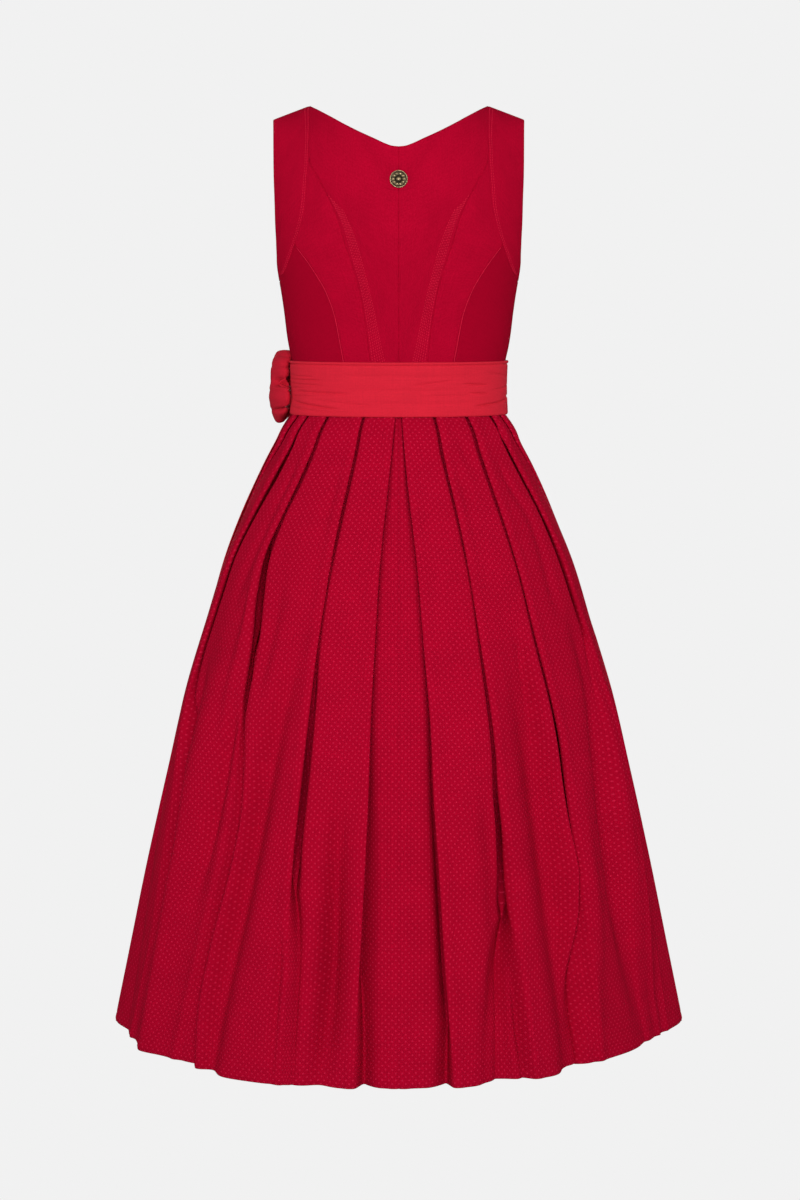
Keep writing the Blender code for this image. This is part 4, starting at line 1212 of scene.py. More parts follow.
    # Soft folds: height and angle along each, with its depth (negative on a ridge) and its width
    creases: tuple[Table, ...] = tuple(metres(*rows, angle=1) for rows in (
        ((-590, -28.6, 0, 12), (-658, -30, 8, 14), (-746, -32.5, 18, 17), (-833, -34.6, 27, 19),
         (-922, -36.2, 29, 20), (-1010, -37.8, 26, 20), (-1105, -38.4, 20, 18)),
        ((-690, -46, 0, 9), (-725, -47.2, 8, 10), (-789, -48.6, 12, 10), (-860, -49.8, 9, 10),
         (-940, -51.5, 0, 10)),
        ((-540, -39, 0, 8), (-590, -39.6, 4, 9), (-630, -39.6, 5, 9), (-700, -39.5, 0, 10)),
        ((-640, -68.5, 0, 12), (-721, -68.5, 10, 14), (-768, -70, 13, 18), (-813, -70.5, 14, 20),
         (-860, -70.5, 14, 20), (-920, -71, 10, 22), (-1010, -73, 4, 24), (-1105, -74, 0, 26)),
        ((-540, -53, 0, 6), (-580, -50.8, -4, 7), (-660, -50, -5, 8), (-720, -49.2, -4, 8),
         (-780, -48, 0, 8)),
        ((-600, -57, 0, 22), (-702, -58, -9, 26), (-790, -59.5, -13, 29), (-850, -60, -14, 30),
         (-920, -61, -15, 30), (-990, -62, -16, 30), (-1105, -62, -12, 30)),
        ((-930, -23.8, 0, 5), (-970, -23.5, 6, 5), (-1020, -23.3, 6, 5), (-1070, -23, 4, 5),
         (-1105, -22.8, 2, 6)),
        ((-780, -13.5, 0, 10), (-830, -13.5, 12, 12), (-900, -13.4, 23, 13), (-970, -13.2, 26, 14),
         (-1050, -13.5, 21, 14), (-1105, -14.5, 9, 14)),
        ((-740, 20.5, 0, 12), (-800, 21, 7, 14), (-860, 21.8, 15, 17), (-910, 21.8, 14, 18),
         (-960, 21, 0, 14)),
        ((-900, 20.6, 0, 10), (-966, 19.9, 10, 12), (-1010, 18.6, 13, 12), (-1054, 17, 10, 11),
         (-1105, 16, 6, 10)),
        ((-560, 32, 0, 14), (-614, 33.5, 4, 16), (-702, 35.4, 18, 24), (-789, 38, 34, 30),
         (-878, 38.3, 38, 31), (-966, 38, 34, 29), (-1054, 37.6, 28, 24), (-1105, 36.6, 25, 20)),
        ((-590, 36.8, 0, 7), (-640, 37.2, 6, 8), (-702, 38, 6, 8), (-760, 39, 0, 8)),
        ((-680, 75, 0, 20), (-760, 76, -9, 23), (-870, 76, -12, 25), (-960, 76, -10, 26),
         (-1060, 76, 0, 26)),
        ((-590, 62, 0, 14), (-658, 66, 10, 18), (-746, 66, 20, 23), (-833, 65, 24, 25),
         (-922, 64.5, 21, 26), (-1010, 65, 12, 26), (-1105, 66, 3, 26)),
        ((-780, 51, 0, 14), (-860, 51, -5, 14), (-950, 50.5, -7, 16), (-1040, 47, -6, 18),
         (-1105, 46, -2, 18)),
        ((-960, 23.9, 0, 4.5), (-1010, 24.2, 9, 4.5), (-1054, 24.3, 11, 5), (-1105, 24.6, 8, 5)),
        ((-380, 29.4, 0, 6), (-395, 31, 2.8, 7), (-420, 33.5, 2.2, 8), (-450, 36, 0, 8)),
        ((-405, 24, 0, 6), (-435, 26, 2.6, 6), (-480, 27.6, 1.8, 7), (-540, 29, 0, 10)),
        ((-415, -26, 0, 6), (-435, -26.2, 2.2, 6), (-480, -27, 1.6, 7), (-530, -27, 0, 8)),
        ((-415, -51, 0, 5), (-435, -51.6, 2, 6), (-470, -53.5, 1.6, 7), (-560, -59, 3, 9),
         (-600, -60, 0, 10)),
        ((-410, 49.6, 0, 5), (-435, 50.6, 2.6, 6), (-480, 56.5, 3, 8), (-569, 56, 2.8, 9),
         (-610, 57, 0, 10)),
        ((-374, 61, 0, 3), (-386, 60.6, 4, 4), (-398, 60.6, 0, 4)),
        ((-640, 103, 0, 16), (-780, 104.5, 7, 20), (-930, 103, 11, 24), (-1105, 101.5, 6, 24)),
        ((-700, -105.5, 0, 16), (-850, -103.5, 8, 20), (-1105, -101.5, 8, 24)),
        ((-600, 123, 0, 14), (-760, 124.5, 5, 18), (-1105, 125.5, 8, 22)),
        ((-660, -122, 0, 14), (-820, -125.5, 7, 20), (-1105, -126, 7, 22))))

    def length_per_turn(self, angle: Array, height: Array) -> Array:
        """Metres along the section for each radian."""
        half_width, depth = section_at(self.sections, angle, height)
        return np.hypot(half_width * np.cos(angle), depth * np.sin(angle))

    def surface(self, angle: Array, height: Array, lift: Array) -> Array:
        """Points of the skirt.

        Args:
            angle: Angles round the body, in radians.
            height: Heights, in a shape that fits the angles.
            lift: Distances outside the line of the outer folds.

        Returns:
            The points, with X, Y, Z as the last axis.
        """
        half_width, depth = section_at(self.sections, angle, height)
        sine, cosine = np.sin(angle), np.cos(angle)
        size = np.hypot(depth * sine, half_width * cosine)
        x = half_width * sine + lift * depth * sine / size
        y = -depth * cosine - lift * half_width * cosine / size
        return np.stack([x, y, np.broadcast_to(height, x.shape)], axis=-1)

    def fold_at(self, fold: Fold, heights: Array) -> tuple[Array, ...]:
        """Angle, overlap, crest, trough and turning length of a fold.

        Args:
            fold: The fold.
            heights: The heights to read it at.

        Returns:
            Five arrays, one value for each height.
        """
        crest = fold.crest * smooth_step((self.hip - heights) / (self.hip - self.hem))
        angle, overlap, depth, turn = (read_table(fold.line, column, heights)
                                       for column in range(1, 5))
        return np.radians(angle), overlap, crest, crest - depth, turn

    def face(self, start: Array, start_lift: Array, end: Array, end_lift: Array,
             under: Array, turn: Array, per_turn: Array) -> tuple[list, list]:
        """The stations of a pleat's face, which turns down before the next fold.

        Args:
            start: The angle of its outer edge, at each height.
            start_lift: The lift there.
            end: The angle of the trough that it ends in.
            end_lift: The lift there.
            under: How much of it lies under the next fold, in metres.
            turn: The length over which it turns down, in metres.
            per_turn: Metres for each radian.

        Returns:
            Angles and lifts of the stations between the two ends.
        """
        whole = (end - start) * per_turn
        hidden = np.maximum(under, self.layer_step)
        shown = whole - hidden
        turn = np.minimum(turn, shown * self.most_turned)
        near = [np.minimum(station, shown * (index + 1) / self.near_parts)
                for index, station in enumerate(self.near_stations)]
        flat = [near[-1] + share * (shown - turn - near[-1]) for share in self.flat_stations]
        turned = [shown - turn * share for share in self.turned_stations]
        angles, lifts = [], []
        for station in near + flat + turned + [shown + hidden / 2]:
            rolled = np.clip((station - shown + turn) / turn, 0.0, 1.0) ** (
                1 + np.minimum(1.0, self.tight_turn / turn))
            fallen = self.face_droop * station / whole + (1 - self.face_droop) * rolled
            ridge = self.ridge * bell(station - self.ridge_width, self.ridge_width)
            angles.append(start + station / per_turn)
            lifts.append(start_lift + (end_lift - start_lift) * np.minimum(fallen, 1.0)
                         + ridge * (1 - rolled))
        return angles, lifts

    def half_section(self, lines: tuple[Fold, ...], heights: Array) -> tuple[Array, Array, Array]:
        """The line of the cloth from the centre back to the centre front of one side.

        Args:
            lines: The side's folds.
            heights: The heights of the sections.

        Returns:
            Angles and lifts, a row for each height, and which of the points lie on a face.
        """
        rows = [self.fold_at(fold, heights) for fold in lines]
        per_turn = [self.length_per_turn(angle, heights) for angle, *_ in rows]
        turned = [row[1] / length for row, length in zip(rows, per_turn)]
        middle = np.zeros_like(heights)
        centre = read_table(self.centre_lift, 1, heights)
        ends = [(row[0] + under, row[3], row[1], row[4], length)
                for row, under, length in zip(rows, turned, per_turn)]
        ends.append((middle + math.pi, middle, middle, middle + self.front_turn, per_turn[-1]))
        more = self.face(middle, centre, *ends[0])
        angles, lifts = [middle, *more[0]], [centre, *more[1]]
        on_face = [True] * len(angles)
        for index, (angle, _, crest, trough, _) in enumerate(rows):
            under = turned[index]
            lean = np.maximum(0.0, -under) * self.fold_lean
            step = np.maximum(self.layer_step, self.fold_step * (crest - trough))
            rise_lean, rise_step = lean, step
            if index in self.seam_folds:
                rise_lean = -self.seam_lap / per_turn[index]
                rise_step = self.seam_step
            angles += [angle + under, angle + under + rise_lean, angle + under / 2, angle - lean]
            lifts += [trough, trough + rise_step, (trough + crest) / 2, crest - step]
            on_face += [False] * 4
            more = self.face(angle, crest, *ends[index + 1])
            angles += [angle, *more[0]]
            lifts += [crest, *more[1]]
            on_face += [True] * (1 + len(more[0]))
        angles.append(middle + math.pi)
        lifts.append(middle)
        return np.stack(angles, axis=1), np.stack(lifts, axis=1), np.array([*on_face, True])

    def rounded(self, points: Array) -> tuple[Array, Array]:
        """Round the sections off between their points.

        Args:
            points: Rows of points of one width of cloth.

        Returns:
            Rows with more points, in soft curves with tight turns at the folds, and the new
            column of each of the old points.
        """
        chord = np.diff(points, axis=1)
        length = np.linalg.norm(chord, axis=2, keepdims=True)
        unit = chord / np.maximum(length, TINY)
        turn = np.concatenate([unit[:, :1], unit[:, 1:] + unit[:, :-1], unit[:, -1:]], axis=1)
        turn /= np.maximum(np.linalg.norm(turn, axis=2, keepdims=True), TINY)
        shorter = np.minimum(length[:, 1:], length[:, :-1]) * self.rounding
        shorter = np.concatenate([length[:, :1], shorter, length[:, -1:]], axis=1)
        pieces = []
        steps = np.clip(np.ceil(length.mean(axis=(0, 2)) / self.column_step), 1,
                        self.most_steps).astype(int)
        for index, count in enumerate(steps):
            start, end = points[:, index, None], points[:, index + 1, None]
            leave = turn[:, index, None] * np.minimum(length, shorter[:, :-1])[:, index, None]
            arrive = turn[:, index + 1, None] * np.minimum(length, shorter[:, 1:])[:, index, None]
            t = np.linspace(0.0, 1.0, count, endpoint=False)[None, :, None]
            pieces.append(soft_curve(t, start, end, leave, arrive))
        rows = np.concatenate([*pieces, points[:, -1:]], axis=1)
        return rows, np.concatenate([[0], np.cumsum(steps)])

    def with_creases(self, points: Array) -> Array:
        """Press the soft folds into the cloth, straight in or out, so that its layers stay apart."""
        height = points[..., 2]
        half_width, depth = section_at(self.sections, np.arctan2(points[..., 0], -points[..., 1]), height)
        angle = np.arctan2(points[..., 0] / half_width, -points[..., 1] / depth)
        radius = self.length_per_turn(angle, height)
        above = height - self.hem
        lift = (-self.hem_curl * (1 - smooth_step(above / self.hem_curl_height))
                - self.hem_fold_depth * bell(above - self.hem_fold_height, self.hem_fold_width))
        level = height[:, 0]
        for crease in self.creases:
            middle, deep, wide = (read_table(crease, column, level)[:, None] for column in (1, 2, 3))
            ends = [row[0] for row in crease]
            within = ((level >= min(ends)) & (level <= max(ends)))[:, None]
            lift = lift - within * deep * bell((angle - np.radians(middle)) * radius, wide)
        direction = self.surface(angle, height, np.ones_like(height)) - self.surface(
            angle, height, np.zeros_like(height))
        return points + direction * lift[..., None]

    def widths(self) -> dict[str, Width]:
        """The points of each width of cloth, by its solid's name."""
        low = self.hem + self.hem_rows[-1]
        rows = int((self.top - low) / self.row_step)
        heights = np.concatenate([self.hem + np.array(self.hem_rows[:-1]),
                                  np.linspace(low, self.top, rows + 1)])
        right_angles, right_lifts, on_face = self.half_section(self.right_folds, heights)
        left_angles, left_lifts, _ = self.half_section(self.left_folds, heights)
        angles = np.concatenate([-left_angles[:, :0:-1], right_angles], axis=1)
        lifts = np.concatenate([left_lifts[:, :0:-1], right_lifts], axis=1)
        ring = self.surface(angles, heights[:, None], lifts)
        on_face = np.concatenate([on_face[:0:-1], on_face])
        centre = ring.shape[1] // 2
        stations = len(self.near_stations + self.flat_stations + self.turned_stations) + 1
        near, far = (1 + stations + (5 + stations) * fold for fold in self.seam_folds)
        parts = {
            "skirt_back": np.arange(centre - near, centre + near + 1),
            "skirt_right": np.arange(centre + near + 1, centre + far + 1),
            "skirt_left": np.arange(centre - far, centre - near),
            "skirt_front": np.concatenate([np.arange(centre + far + 1, ring.shape[1] - 1),
                                           np.arange(0, centre - far)]),
        }
        return {name: Width(ring[:, part], on_face[part]) for name, part in parts.items()}

    def flat_place(self, points: Array, on_face: Array, columns: Array) -> Array:
        """Where the points lie on the flat cloth.

        The threads run straight down the middle of each face, and what is left over is taken up
        in the folds.

        Args:
            points: The rounded rows of points.
            on_face: For each of the first points, whether it lies on a face.
            columns: The column of each of the first points.

        Returns:
            Metres across and along the cloth.
        """
        across = run_lengths(points, 1)
        edges = np.flatnonzero(np.diff(np.concatenate([[False], on_face, [False]]).astype(int)))
        starts, ends = columns[edges[::2]], columns[edges[1::2] - 1]
        middles = (starts + ends) // 2
        kept = across[:, middles].mean(axis=0) - across[:, middles]
        knots = np.stack([starts, ends], axis=1).ravel()
        every = np.arange(across.shape[1])
        weights = np.stack([np.interp(every, knots, np.repeat(one, 2))
                            for one in np.eye(len(starts))], axis=0)
        across = across + kept @ weights
        level = points[:, 0, 2]
        rise = np.diff(read_table(self.sections, 1, level))
        deepen = np.diff(read_table(self.sections, 2, level))
        angle = np.arctan2(points[..., 0], -points[..., 1])[:-1]
        slant = rise[:, None] * np.sin(angle) ** 2 + deepen[:, None] * np.cos(angle) ** 2
        steps = np.hypot(np.diff(level)[:, None], slant)
        along = np.concatenate([np.zeros((1, across.shape[1])), np.cumsum(steps, axis=0)])
        return np.stack([across, along], axis=-1)

    def build(self, finishes: Finishes) -> None:
        """Make the four widths of the skirt."""
        material = finishes.made[finishes.skirt.name]
        for name, cloth in self.widths().items():
            rounded, columns = self.rounded(cloth.points)
            points = self.with_creases(rounded)
            place = self.flat_place(rounded, cloth.on_face, columns)
            sheet = ClothGrid(points, place)
            piece, cut = sheet.shell(f"{name}_cloth", material, self.wall), sheet.cut(Held.FOLDED)
            dress(piece, (name,))
            log.info("%s: %.3f m wide, %.3f m long", name, cut.width, cut.length)


# Apron and sash

@dataclass
class Apron:
    """A straight panel gathered to the sash, over the front of the skirt."""

    skirt: Skirt
    edge_angle: float = 112.0
    hem_angle: float = 118.0
    top: float = -0.3655
    hem: float = -1.06
    lift_top: float = 0.0022
    lift: float = 0.0045
    lift_grown: float = 0.125
    gathers: int = 9
    wave_top: float = 0.0012
    wave_hem: float = 0.012
    wave_grown: float = 0.77
    small_gathers: int = 31
    small_wave: float = 0.0016
    small_fade: float = 0.14
    shifts: Table = ((3.1, 0.034, 0.6), (7.3, 0.016, 1.9), (12.1, 0.008, 0.3))
    fullness: Table = ((5.0, 0.22, 0.8), (11.0, 0.14, 2.2))
    wave_cut: float = 0.1
    small_unevenness: float = 3.0
    hem_depth: float = 0.02
    side_hem: float = 0.012
    hem_groove: float = 0.0004
    hem_groove_width: float = 0.001
    columns: int = 280
    rows: int = 98
    crowding: float = 1.25
    wall: float = 0.0006

    def uneven(self, across: Array, waves: Table) -> Array:
        """A sum of slow waves across the panel; each row holds a count, a size and a start."""
        return sum(size * np.sin(count * across + start) for count, size, start in waves)

    def build(self, finishes: Finishes) -> None:
        """Make the apron and the stitches of its hems."""
        across = np.linspace(-1.0, 1.0, self.columns + 1)[None, :]
        fallen = (np.linspace(1.0, 0.0, self.rows + 1) ** self.crowding)[:, None]
        height = self.top - fallen * (self.top - self.hem)
        spread = 180.0 - (self.edge_angle + (self.hem_angle - self.edge_angle) * fallen)
        angles = math.pi - np.radians(spread) * across
        grown = smooth_step(fallen / self.wave_grown)
        wave = self.wave_top + (self.wave_hem - self.wave_top) * grown
        wave = wave * (1 + self.uneven(across, self.fullness) * grown - self.wave_cut)
        lift = self.lift_top + (self.lift - self.lift_top) * smooth_step(fallen / self.lift_grown)
        edges = 1 - across ** 2
        turned = math.pi * (across + 1 + self.uneven(across, self.shifts) * edges * grown)
        lift = lift + wave * (1 - np.cos(self.gathers * turned)) / 2
        fade = self.small_fade * (1 + self.uneven(self.small_unevenness * across, self.fullness))
        small = self.small_wave * (1 - smooth_step(fallen / fade))
        lift = lift + small * (1 - np.cos(self.small_gathers * turned)) / 2
        points = self.skirt.surface(angles, height, lift)[:, ::-1]
        cloth = ClothGrid.measured(points)
        cut = cloth.cut(Held.GATHERED)
        reach, drop = run_lengths(points, 1), run_lengths(points, 0)
        edge = np.minimum(reach, reach[:, -1:] - reach)
        cloth = cloth.pushed(-self.hem_groove * (bell(drop - self.hem_depth, self.hem_groove_width)
                                                 + bell(edge - self.side_hem, self.hem_groove_width)))
        piece = cloth.shell("apron_cloth", finishes.made[finishes.sash.name], self.wall)
        self.sew(cloth, reach, drop, finishes)
        dress(piece, ("apron_panel",))

    def sew(self, cloth: ClothGrid, reach: Array, drop: Array, finishes: Finishes) -> None:
        """Sew the hems.

        Args:
            cloth: The panel.
            reach: The length across the panel up to each point.
            drop: The length up the panel to each point.
            finishes: The garment's finishes.
        """
        stitches = Stitching("apron_stitches", finishes.sash_thread, sunk=self.wall / 2)
        known = cloth.with_directions()
        upright = known.swapaxes(0, 1)
        for lines, lengths, wanted in (
                (upright, drop.T, np.full(self.columns + 1, self.hem_depth)),
                (known, reach, np.full(self.rows + 1, self.side_hem)),
                (known, reach, reach[:, -1] - self.side_hem)):
            line = []
            for points, length, at in zip(lines, lengths, wanted):
                index = np.interp(at, length, np.arange(len(length)))
                line.append(take_between(points, np.array([index]), 0)[0])
            stitches.sew(np.array(line)[:, :3], np.array(line)[:, 3:])
        stitches.build(finishes)


@dataclass
class Sash:
    """The apron's waistband and ties, once round the waist."""

    sections: Table = metres((-300.5, 129.8, 93.5), (-333, 129, 92.5), (-364, 130.2, 93.8))
    start_angle: float = -121.0
    degree: float = 0.002
    crease_strength: float = 1.7
    rim: float = 0.001
    rim_drop: float = 0.0013
    rim_width: float = 0.001
    rim_groove: float = 0.001
    rim_groove_drop: float = 0.0037
    foot_roll: float = 0.001
    foot_height: float = 0.0016
    columns: int = 330
    rows: int = 84
    wall: float = 0.0011

    # Creases: start and end as a distance round from the centre back and a height, depth and width
    creases: Table = metres(
        (-142, -348.4, -70, -355.3, 1.3, 1.5), (-138, -336, -58, -337.5, 1, 1.8),
        (-158, -317.5, -104, -318, 0.6, 1), (-158, -322, -92, -322.5, 0.8, 1.1),
        (-158, -327, -92, -328.2, 0.8, 1.1), (-156, -331.8, -108, -331, 0.6, 1),
        (-150, -342, -96, -340, 0.7, 1.3), (-150, -356, -60, -359, 0.6, 1.4),
        (-100, -345, -20, -352, 0.5, 1.8), (-60, -316.5, 80, -317.5, 0.4, 2.6),
        (-50, -333, 60, -333.8, 0.4, 2.6), (-30, -348, 90, -349, 0.4, 2.4),
        (18, -327.5, 60, -321.5, 0.6, 1.6), (26, -340, 90, -339.5, 0.4, 1.6),
        (74, -326, 106, -328, 1, 1.3), (81, -336.8, 108, -338.2, 0.9, 1.2),
        (91, -352.2, 158, -346.5, 1.5, 1.4), (110, -314, 165, -319, 0.6, 1.4),
        (120, -334, 176, -330, 0.6, 1.3), (150, -341, 210, -344, 0.7, 1.6),
        (190, -323, 270, -321, 0.6, 1.8), (250, -338, 360, -340, 0.6, 2),
        (300, -316, 400, -318, 0.5, 1.8), (360, -352, 462, -342, 1.2, 1.8),
        (375, -325, 462, -329, 1, 1.6), (390, -335, 464, -334.5, 0.8, 1.3),
        (-226, -329, -180, -324, 0.9, 1.4), (-226, -338, -170, -343, 0.9, 1.5))

    def build(self, finishes: Finishes) -> None:
        """Make the sash."""
        turn = np.radians(self.start_angle + np.linspace(0.0, 360.0, self.columns + 1))[None, :]
        height = np.linspace(self.sections[-1][0], self.sections[0][0], self.rows + 1)[:, None]
        x = read_table(self.sections, 1, height) * np.sin(turn)
        y = -read_table(self.sections, 2, height) * np.cos(turn)
        points = np.stack([x, y, np.broadcast_to(height, x.shape)], axis=-1)
        cloth = ClothGrid.measured(points)
        cut = cloth.cut(Held.STRETCHED)
        below, above = self.sections[0][0] - height, height - self.sections[-1][0]
        cloth = cloth.pushed(
            self.crease_strength * crease_lift(np.degrees(turn) * self.degree, height, self.creases)
            + self.rim * bell(below - self.rim_drop, self.rim_width)
            - self.rim_groove * bell(below - self.rim_groove_drop, self.rim_width)
            - self.foot_roll * (1 - smooth_step(above / self.foot_height)))
        piece = cloth.shell("sash_cloth", finishes.made[finishes.sash.name], self.wall)
        dress(piece, ("sash_band",))


# Bow

@dataclass
class Bow:
    """The bow at the left front: two loops, a knot and two tie ends.

    Tables of the tie ends hold height, angle, lift off the skirt's folds, half width and rise
    across the width.
    """

    skirt: Skirt
    sash: Sash
    angle: float = -121.0
    height: float = -0.333
    out: float = 0.0147
    root: float = 0.015
    length: float = 0.0545
    puff: float = 0.0104
    root_depth: float = 0.0016
    half_height: float = 0.0435
    root_half_height: float = 0.011
    opening_out: float = 0.45
    opening_in: float = 0.14
    clearance: float = 0.0024
    skirt_room: float = 0.012
    loop_columns: int = 96
    loop_rows: int = 84
    outline: Table = (
        (-1.0, 0.56), (-0.88, 0.69), (-0.7, 0.854), (-0.5, 0.946), (-0.25, 0.985), (-0.06, 0.966),
        (0.12, 0.92), (0.3, 0.88), (0.52, 0.85), (0.78, 0.71), (0.9, 0.6), (1.0, 0.46))
    knot_width: float = 0.034
    knot_depth: float = 0.032
    knot_height: float = 0.062
    knot_tuck: float = 0.26
    knot_square: float = 0.75
    knot_columns: int = 96
    knot_rows: int = 48
    knot_folds: Table = (
        (-0.58, 0.0016, 0.13, 0.12), (-0.14, 0.0024, 0.12, -0.12), (0.34, 0.0015, 0.12, 0.16),
        (0.7, 0.001, 0.1, -0.06))

    # Folds round a loop: level, depth, width, lean, and share left on its outer side
    loop_folds: Table = (
        (0.15, 0.013, 0.11, 0.02, 0.05), (-0.01, -0.0008, 0.035, 0.02, 0.3),
        (-0.095, 0.0012, 0.028, 0.02, 0.5), (-0.3, -0.0008, 0.1, 0.03, 1.0),
        (-0.62, 0.0056, 0.062, 0.16, 0.2), (0.6, 0.0016, 0.06, -0.05, 0.5),
        (0.86, 0.001, 0.04, -0.05, 0.6))
    fold_start: float = -0.34
    fold_full: float = -0.08
    top_tuck: float = 0.0055
    tuck_start: float = 0.62
    tuck_length: float = 0.3
    room_start: float = 0.55
    room_length: float = 0.45
    bulge: float = 1.15
    root_length: float = 0.012
    back_hug: float = 4.5
    back_droop: float = -0.001
    front_hug: float = 2.0
    knot_flare: float = 0.12
    tail_columns: int = 24
    tail_rows: int = 120
    tail_fold: float = 0.0015
    tail_ripple: float = 0.0012
    ripple_count: float = 2.3
    ripple_twist: float = 9.0
    wall: float = 0.0008
    long_tail: Table = metres(
        (-359.4, -124.8, 12.8, 6.2, 0), (-366, -125.2, 10.5, 9, 0), (-380, -126, 8.5, 15, 0),
        (-410, -127.5, 11.5, 22, 0), (-470, -129, 15, 28, 0), (-540, -129.7, 17.5, 30, 0),
        (-620, -130.2, 19, 30.5, 0), (-700, -130.5, 20.5, 30.5, 0), (-770, -130.8, 21.5, 30.5, 0),
        (-840, -131, 22, 30.5, 18), angle=1)
    short_tail: Table = metres(
        (-359.4, -117.2, 17.2, 6.2, 0), (-366, -118, 15.5, 9, 0), (-380, -119, 14, 15, 0),
        (-410, -120.5, 17, 22, 0), (-470, -122, 20.5, 28, 0), (-540, -122.7, 23, 30, 0),
        (-620, -123.2, 25, 30.5, 0), (-700, -123.6, 26.5, 30.5, 0), (-770, -124, 27.5, 30.5, -18),
        angle=1)

    def frame(self) -> tuple[Array, Array, Array, Array]:
        """The bow's place on the sash, and its directions along, outwards and up."""
        half_width, depth = self.sash.sections[1][1:]
        turn = math.radians(self.angle)
        place = np.array([half_width * math.sin(turn), -depth * math.cos(turn), self.height])
        along = np.array([half_width * math.cos(turn), depth * math.sin(turn), 0.0])
        along /= np.linalg.norm(along)
        return place, along, np.array([along[1], -along[0], 0.0]), np.array([0.0, 0.0, 1.0])

    def against_sash(self, reach: Array, direction: int) -> Array:
        """How far out the sash lies at a reach along the bow."""
        place, along, outwards, _ = self.frame()
        radii = np.array(self.sash.sections[1][1:])
        start = (place[:2] + direction * reach[..., None] * along[:2]) / radii
        step = outwards[:2] / radii
        square, half, rest = step @ step, start @ step, (start ** 2).sum(axis=-1) - 1
        return (np.sqrt(np.maximum(half ** 2 - square * rest, 0.0)) - half) / square

    def loop(self, direction: int, hug: float, droop: float) -> ClothGrid:
        """One loop: out along the sash, round its end and back to the knot.

        Args:
            direction: 1 towards the back, -1 towards the front.
            hug: How strongly its outer side bends round the body.
            droop: How far its end hangs down.

        Returns:
            The loop's sheet.
        """
        place, along, outwards, up = self.frame()
        turn = np.linspace(-1.0, 1.0, self.loop_columns + 1)[None, :]
        level = np.linspace(-1.0, 1.0, self.loop_rows + 1)[:, None]
        inner = smooth_step(turn + 0.5)
        fullness = np.maximum(np.cos(turn * math.pi / 2), 0.0)
        length = self.length * read_table(self.outline, 1, level)
        reach = self.root + length * fullness
        opening = (self.half_height - self.root_half_height) * fullness ** (
            self.opening_out + (self.opening_in - self.opening_out) * inner)
        rise = (self.root_half_height + opening) * level - droop * fullness
        outer = (self.out + self.root_depth - hug * reach ** 2
                 + self.puff * np.sin(math.pi * (reach - self.root) / (self.bulge * length)))
        near = (self.against_sash(reach, direction) + self.clearance
                + self.skirt_room * smooth_step((-level - self.room_start) / self.room_length)
                - self.top_tuck * smooth_step((level - self.tuck_start) / self.tuck_length))
        rooted = bell(reach - self.root, self.root_length)
        near = near + rooted * (self.out - self.root_depth - near)
        out = outer + inner * (near - outer)
        points = (place + (along * direction) * reach[..., None] + outwards * out[..., None]
                  + up * rise[..., None])
        cloth = ClothGrid.measured(points)
        face = smooth_step((turn - self.fold_start) / (self.fold_full - self.fold_start))
        lift = sum(-depth * (left + (1 - left) * face) * bell(level - at - lean * turn, width)
                   for at, depth, width, lean, left in self.loop_folds)
        return ClothGrid(cloth.points, cloth.place, direction).pushed(lift * fullness ** 0.5)

    def tail(self, rows: Table) -> ClothGrid:
        """A tie end that hangs from the knot over the apron."""
        across = np.linspace(-1.0, 1.0, self.tail_columns + 1)[None, :]
        level = np.linspace(rows[-1][0], rows[0][0], self.tail_rows + 1)[:, None]
        turn = np.radians(read_table(rows, 1, level))
        half_width = read_table(rows, 3, level)
        angles = turn + across * half_width / self.skirt.length_per_turn(turn, level)
        height = level + read_table(rows, 4, level) * across
        lift = (read_table(rows, 2, level) + self.tail_fold * np.cos(across * math.pi)
                + self.tail_ripple * np.sin(self.ripple_count * math.pi * across
                                            + self.ripple_twist * level))
        return ClothGrid.measured(self.skirt.surface(angles, height, lift))

    def knot(self) -> ClothGrid:
        """The knot, a soft band wrapped over the roots of the loops."""
        place, along, outwards, up = self.frame()
        turn = np.linspace(-math.pi, math.pi, self.knot_columns + 1)[None, :]
        level = np.linspace(-1.0, 1.0, self.knot_rows + 1)[:, None]
        tuck = 1 - self.knot_tuck * np.abs(level) ** 3
        folds = sum(depth * bell(level - at - lean * np.sin(turn), width)
                    for at, depth, width, lean in self.knot_folds)
        deep, high = (np.sign(wave) * np.abs(wave) ** self.knot_square * (half * tuck - folds)
                      for wave, half in ((np.cos(turn), self.knot_depth / 2),
                                         (np.sin(turn), self.knot_height / 2)))
        wide = self.knot_width / 2 * level * (1 + self.knot_flare * np.sin(turn))
        points = (place + outwards * (self.out + deep)[..., None] + up * high[..., None]
                  + along * wide[..., None])
        cloth = ClothGrid.measured(points)
        return ClothGrid(cloth.points, cloth.place, -1)

    def build(self, finishes: Finishes) -> None:
        """Make the loops, the tie ends and the knot."""
        # Loops, tie ends and knot take the sash cotton with darkened dye, which is painted shade
        material = finishes.made[finishes.bow.name]
        sheets = {
            "bow_loop_back": self.loop(1, self.back_hug, self.back_droop),
            "bow_loop_front": self.loop(-1, self.front_hug, 0.0),
            "tie_tail_long": self.tail(self.long_tail),
            "tie_tail_short": self.tail(self.short_tail),
            "bow_knot": self.knot(),
        }
        for node, cloth in sheets.items():
            piece = cloth.shell(f"{node}_cloth", material, self.wall)
            dress(piece, (node,))


# Rosette

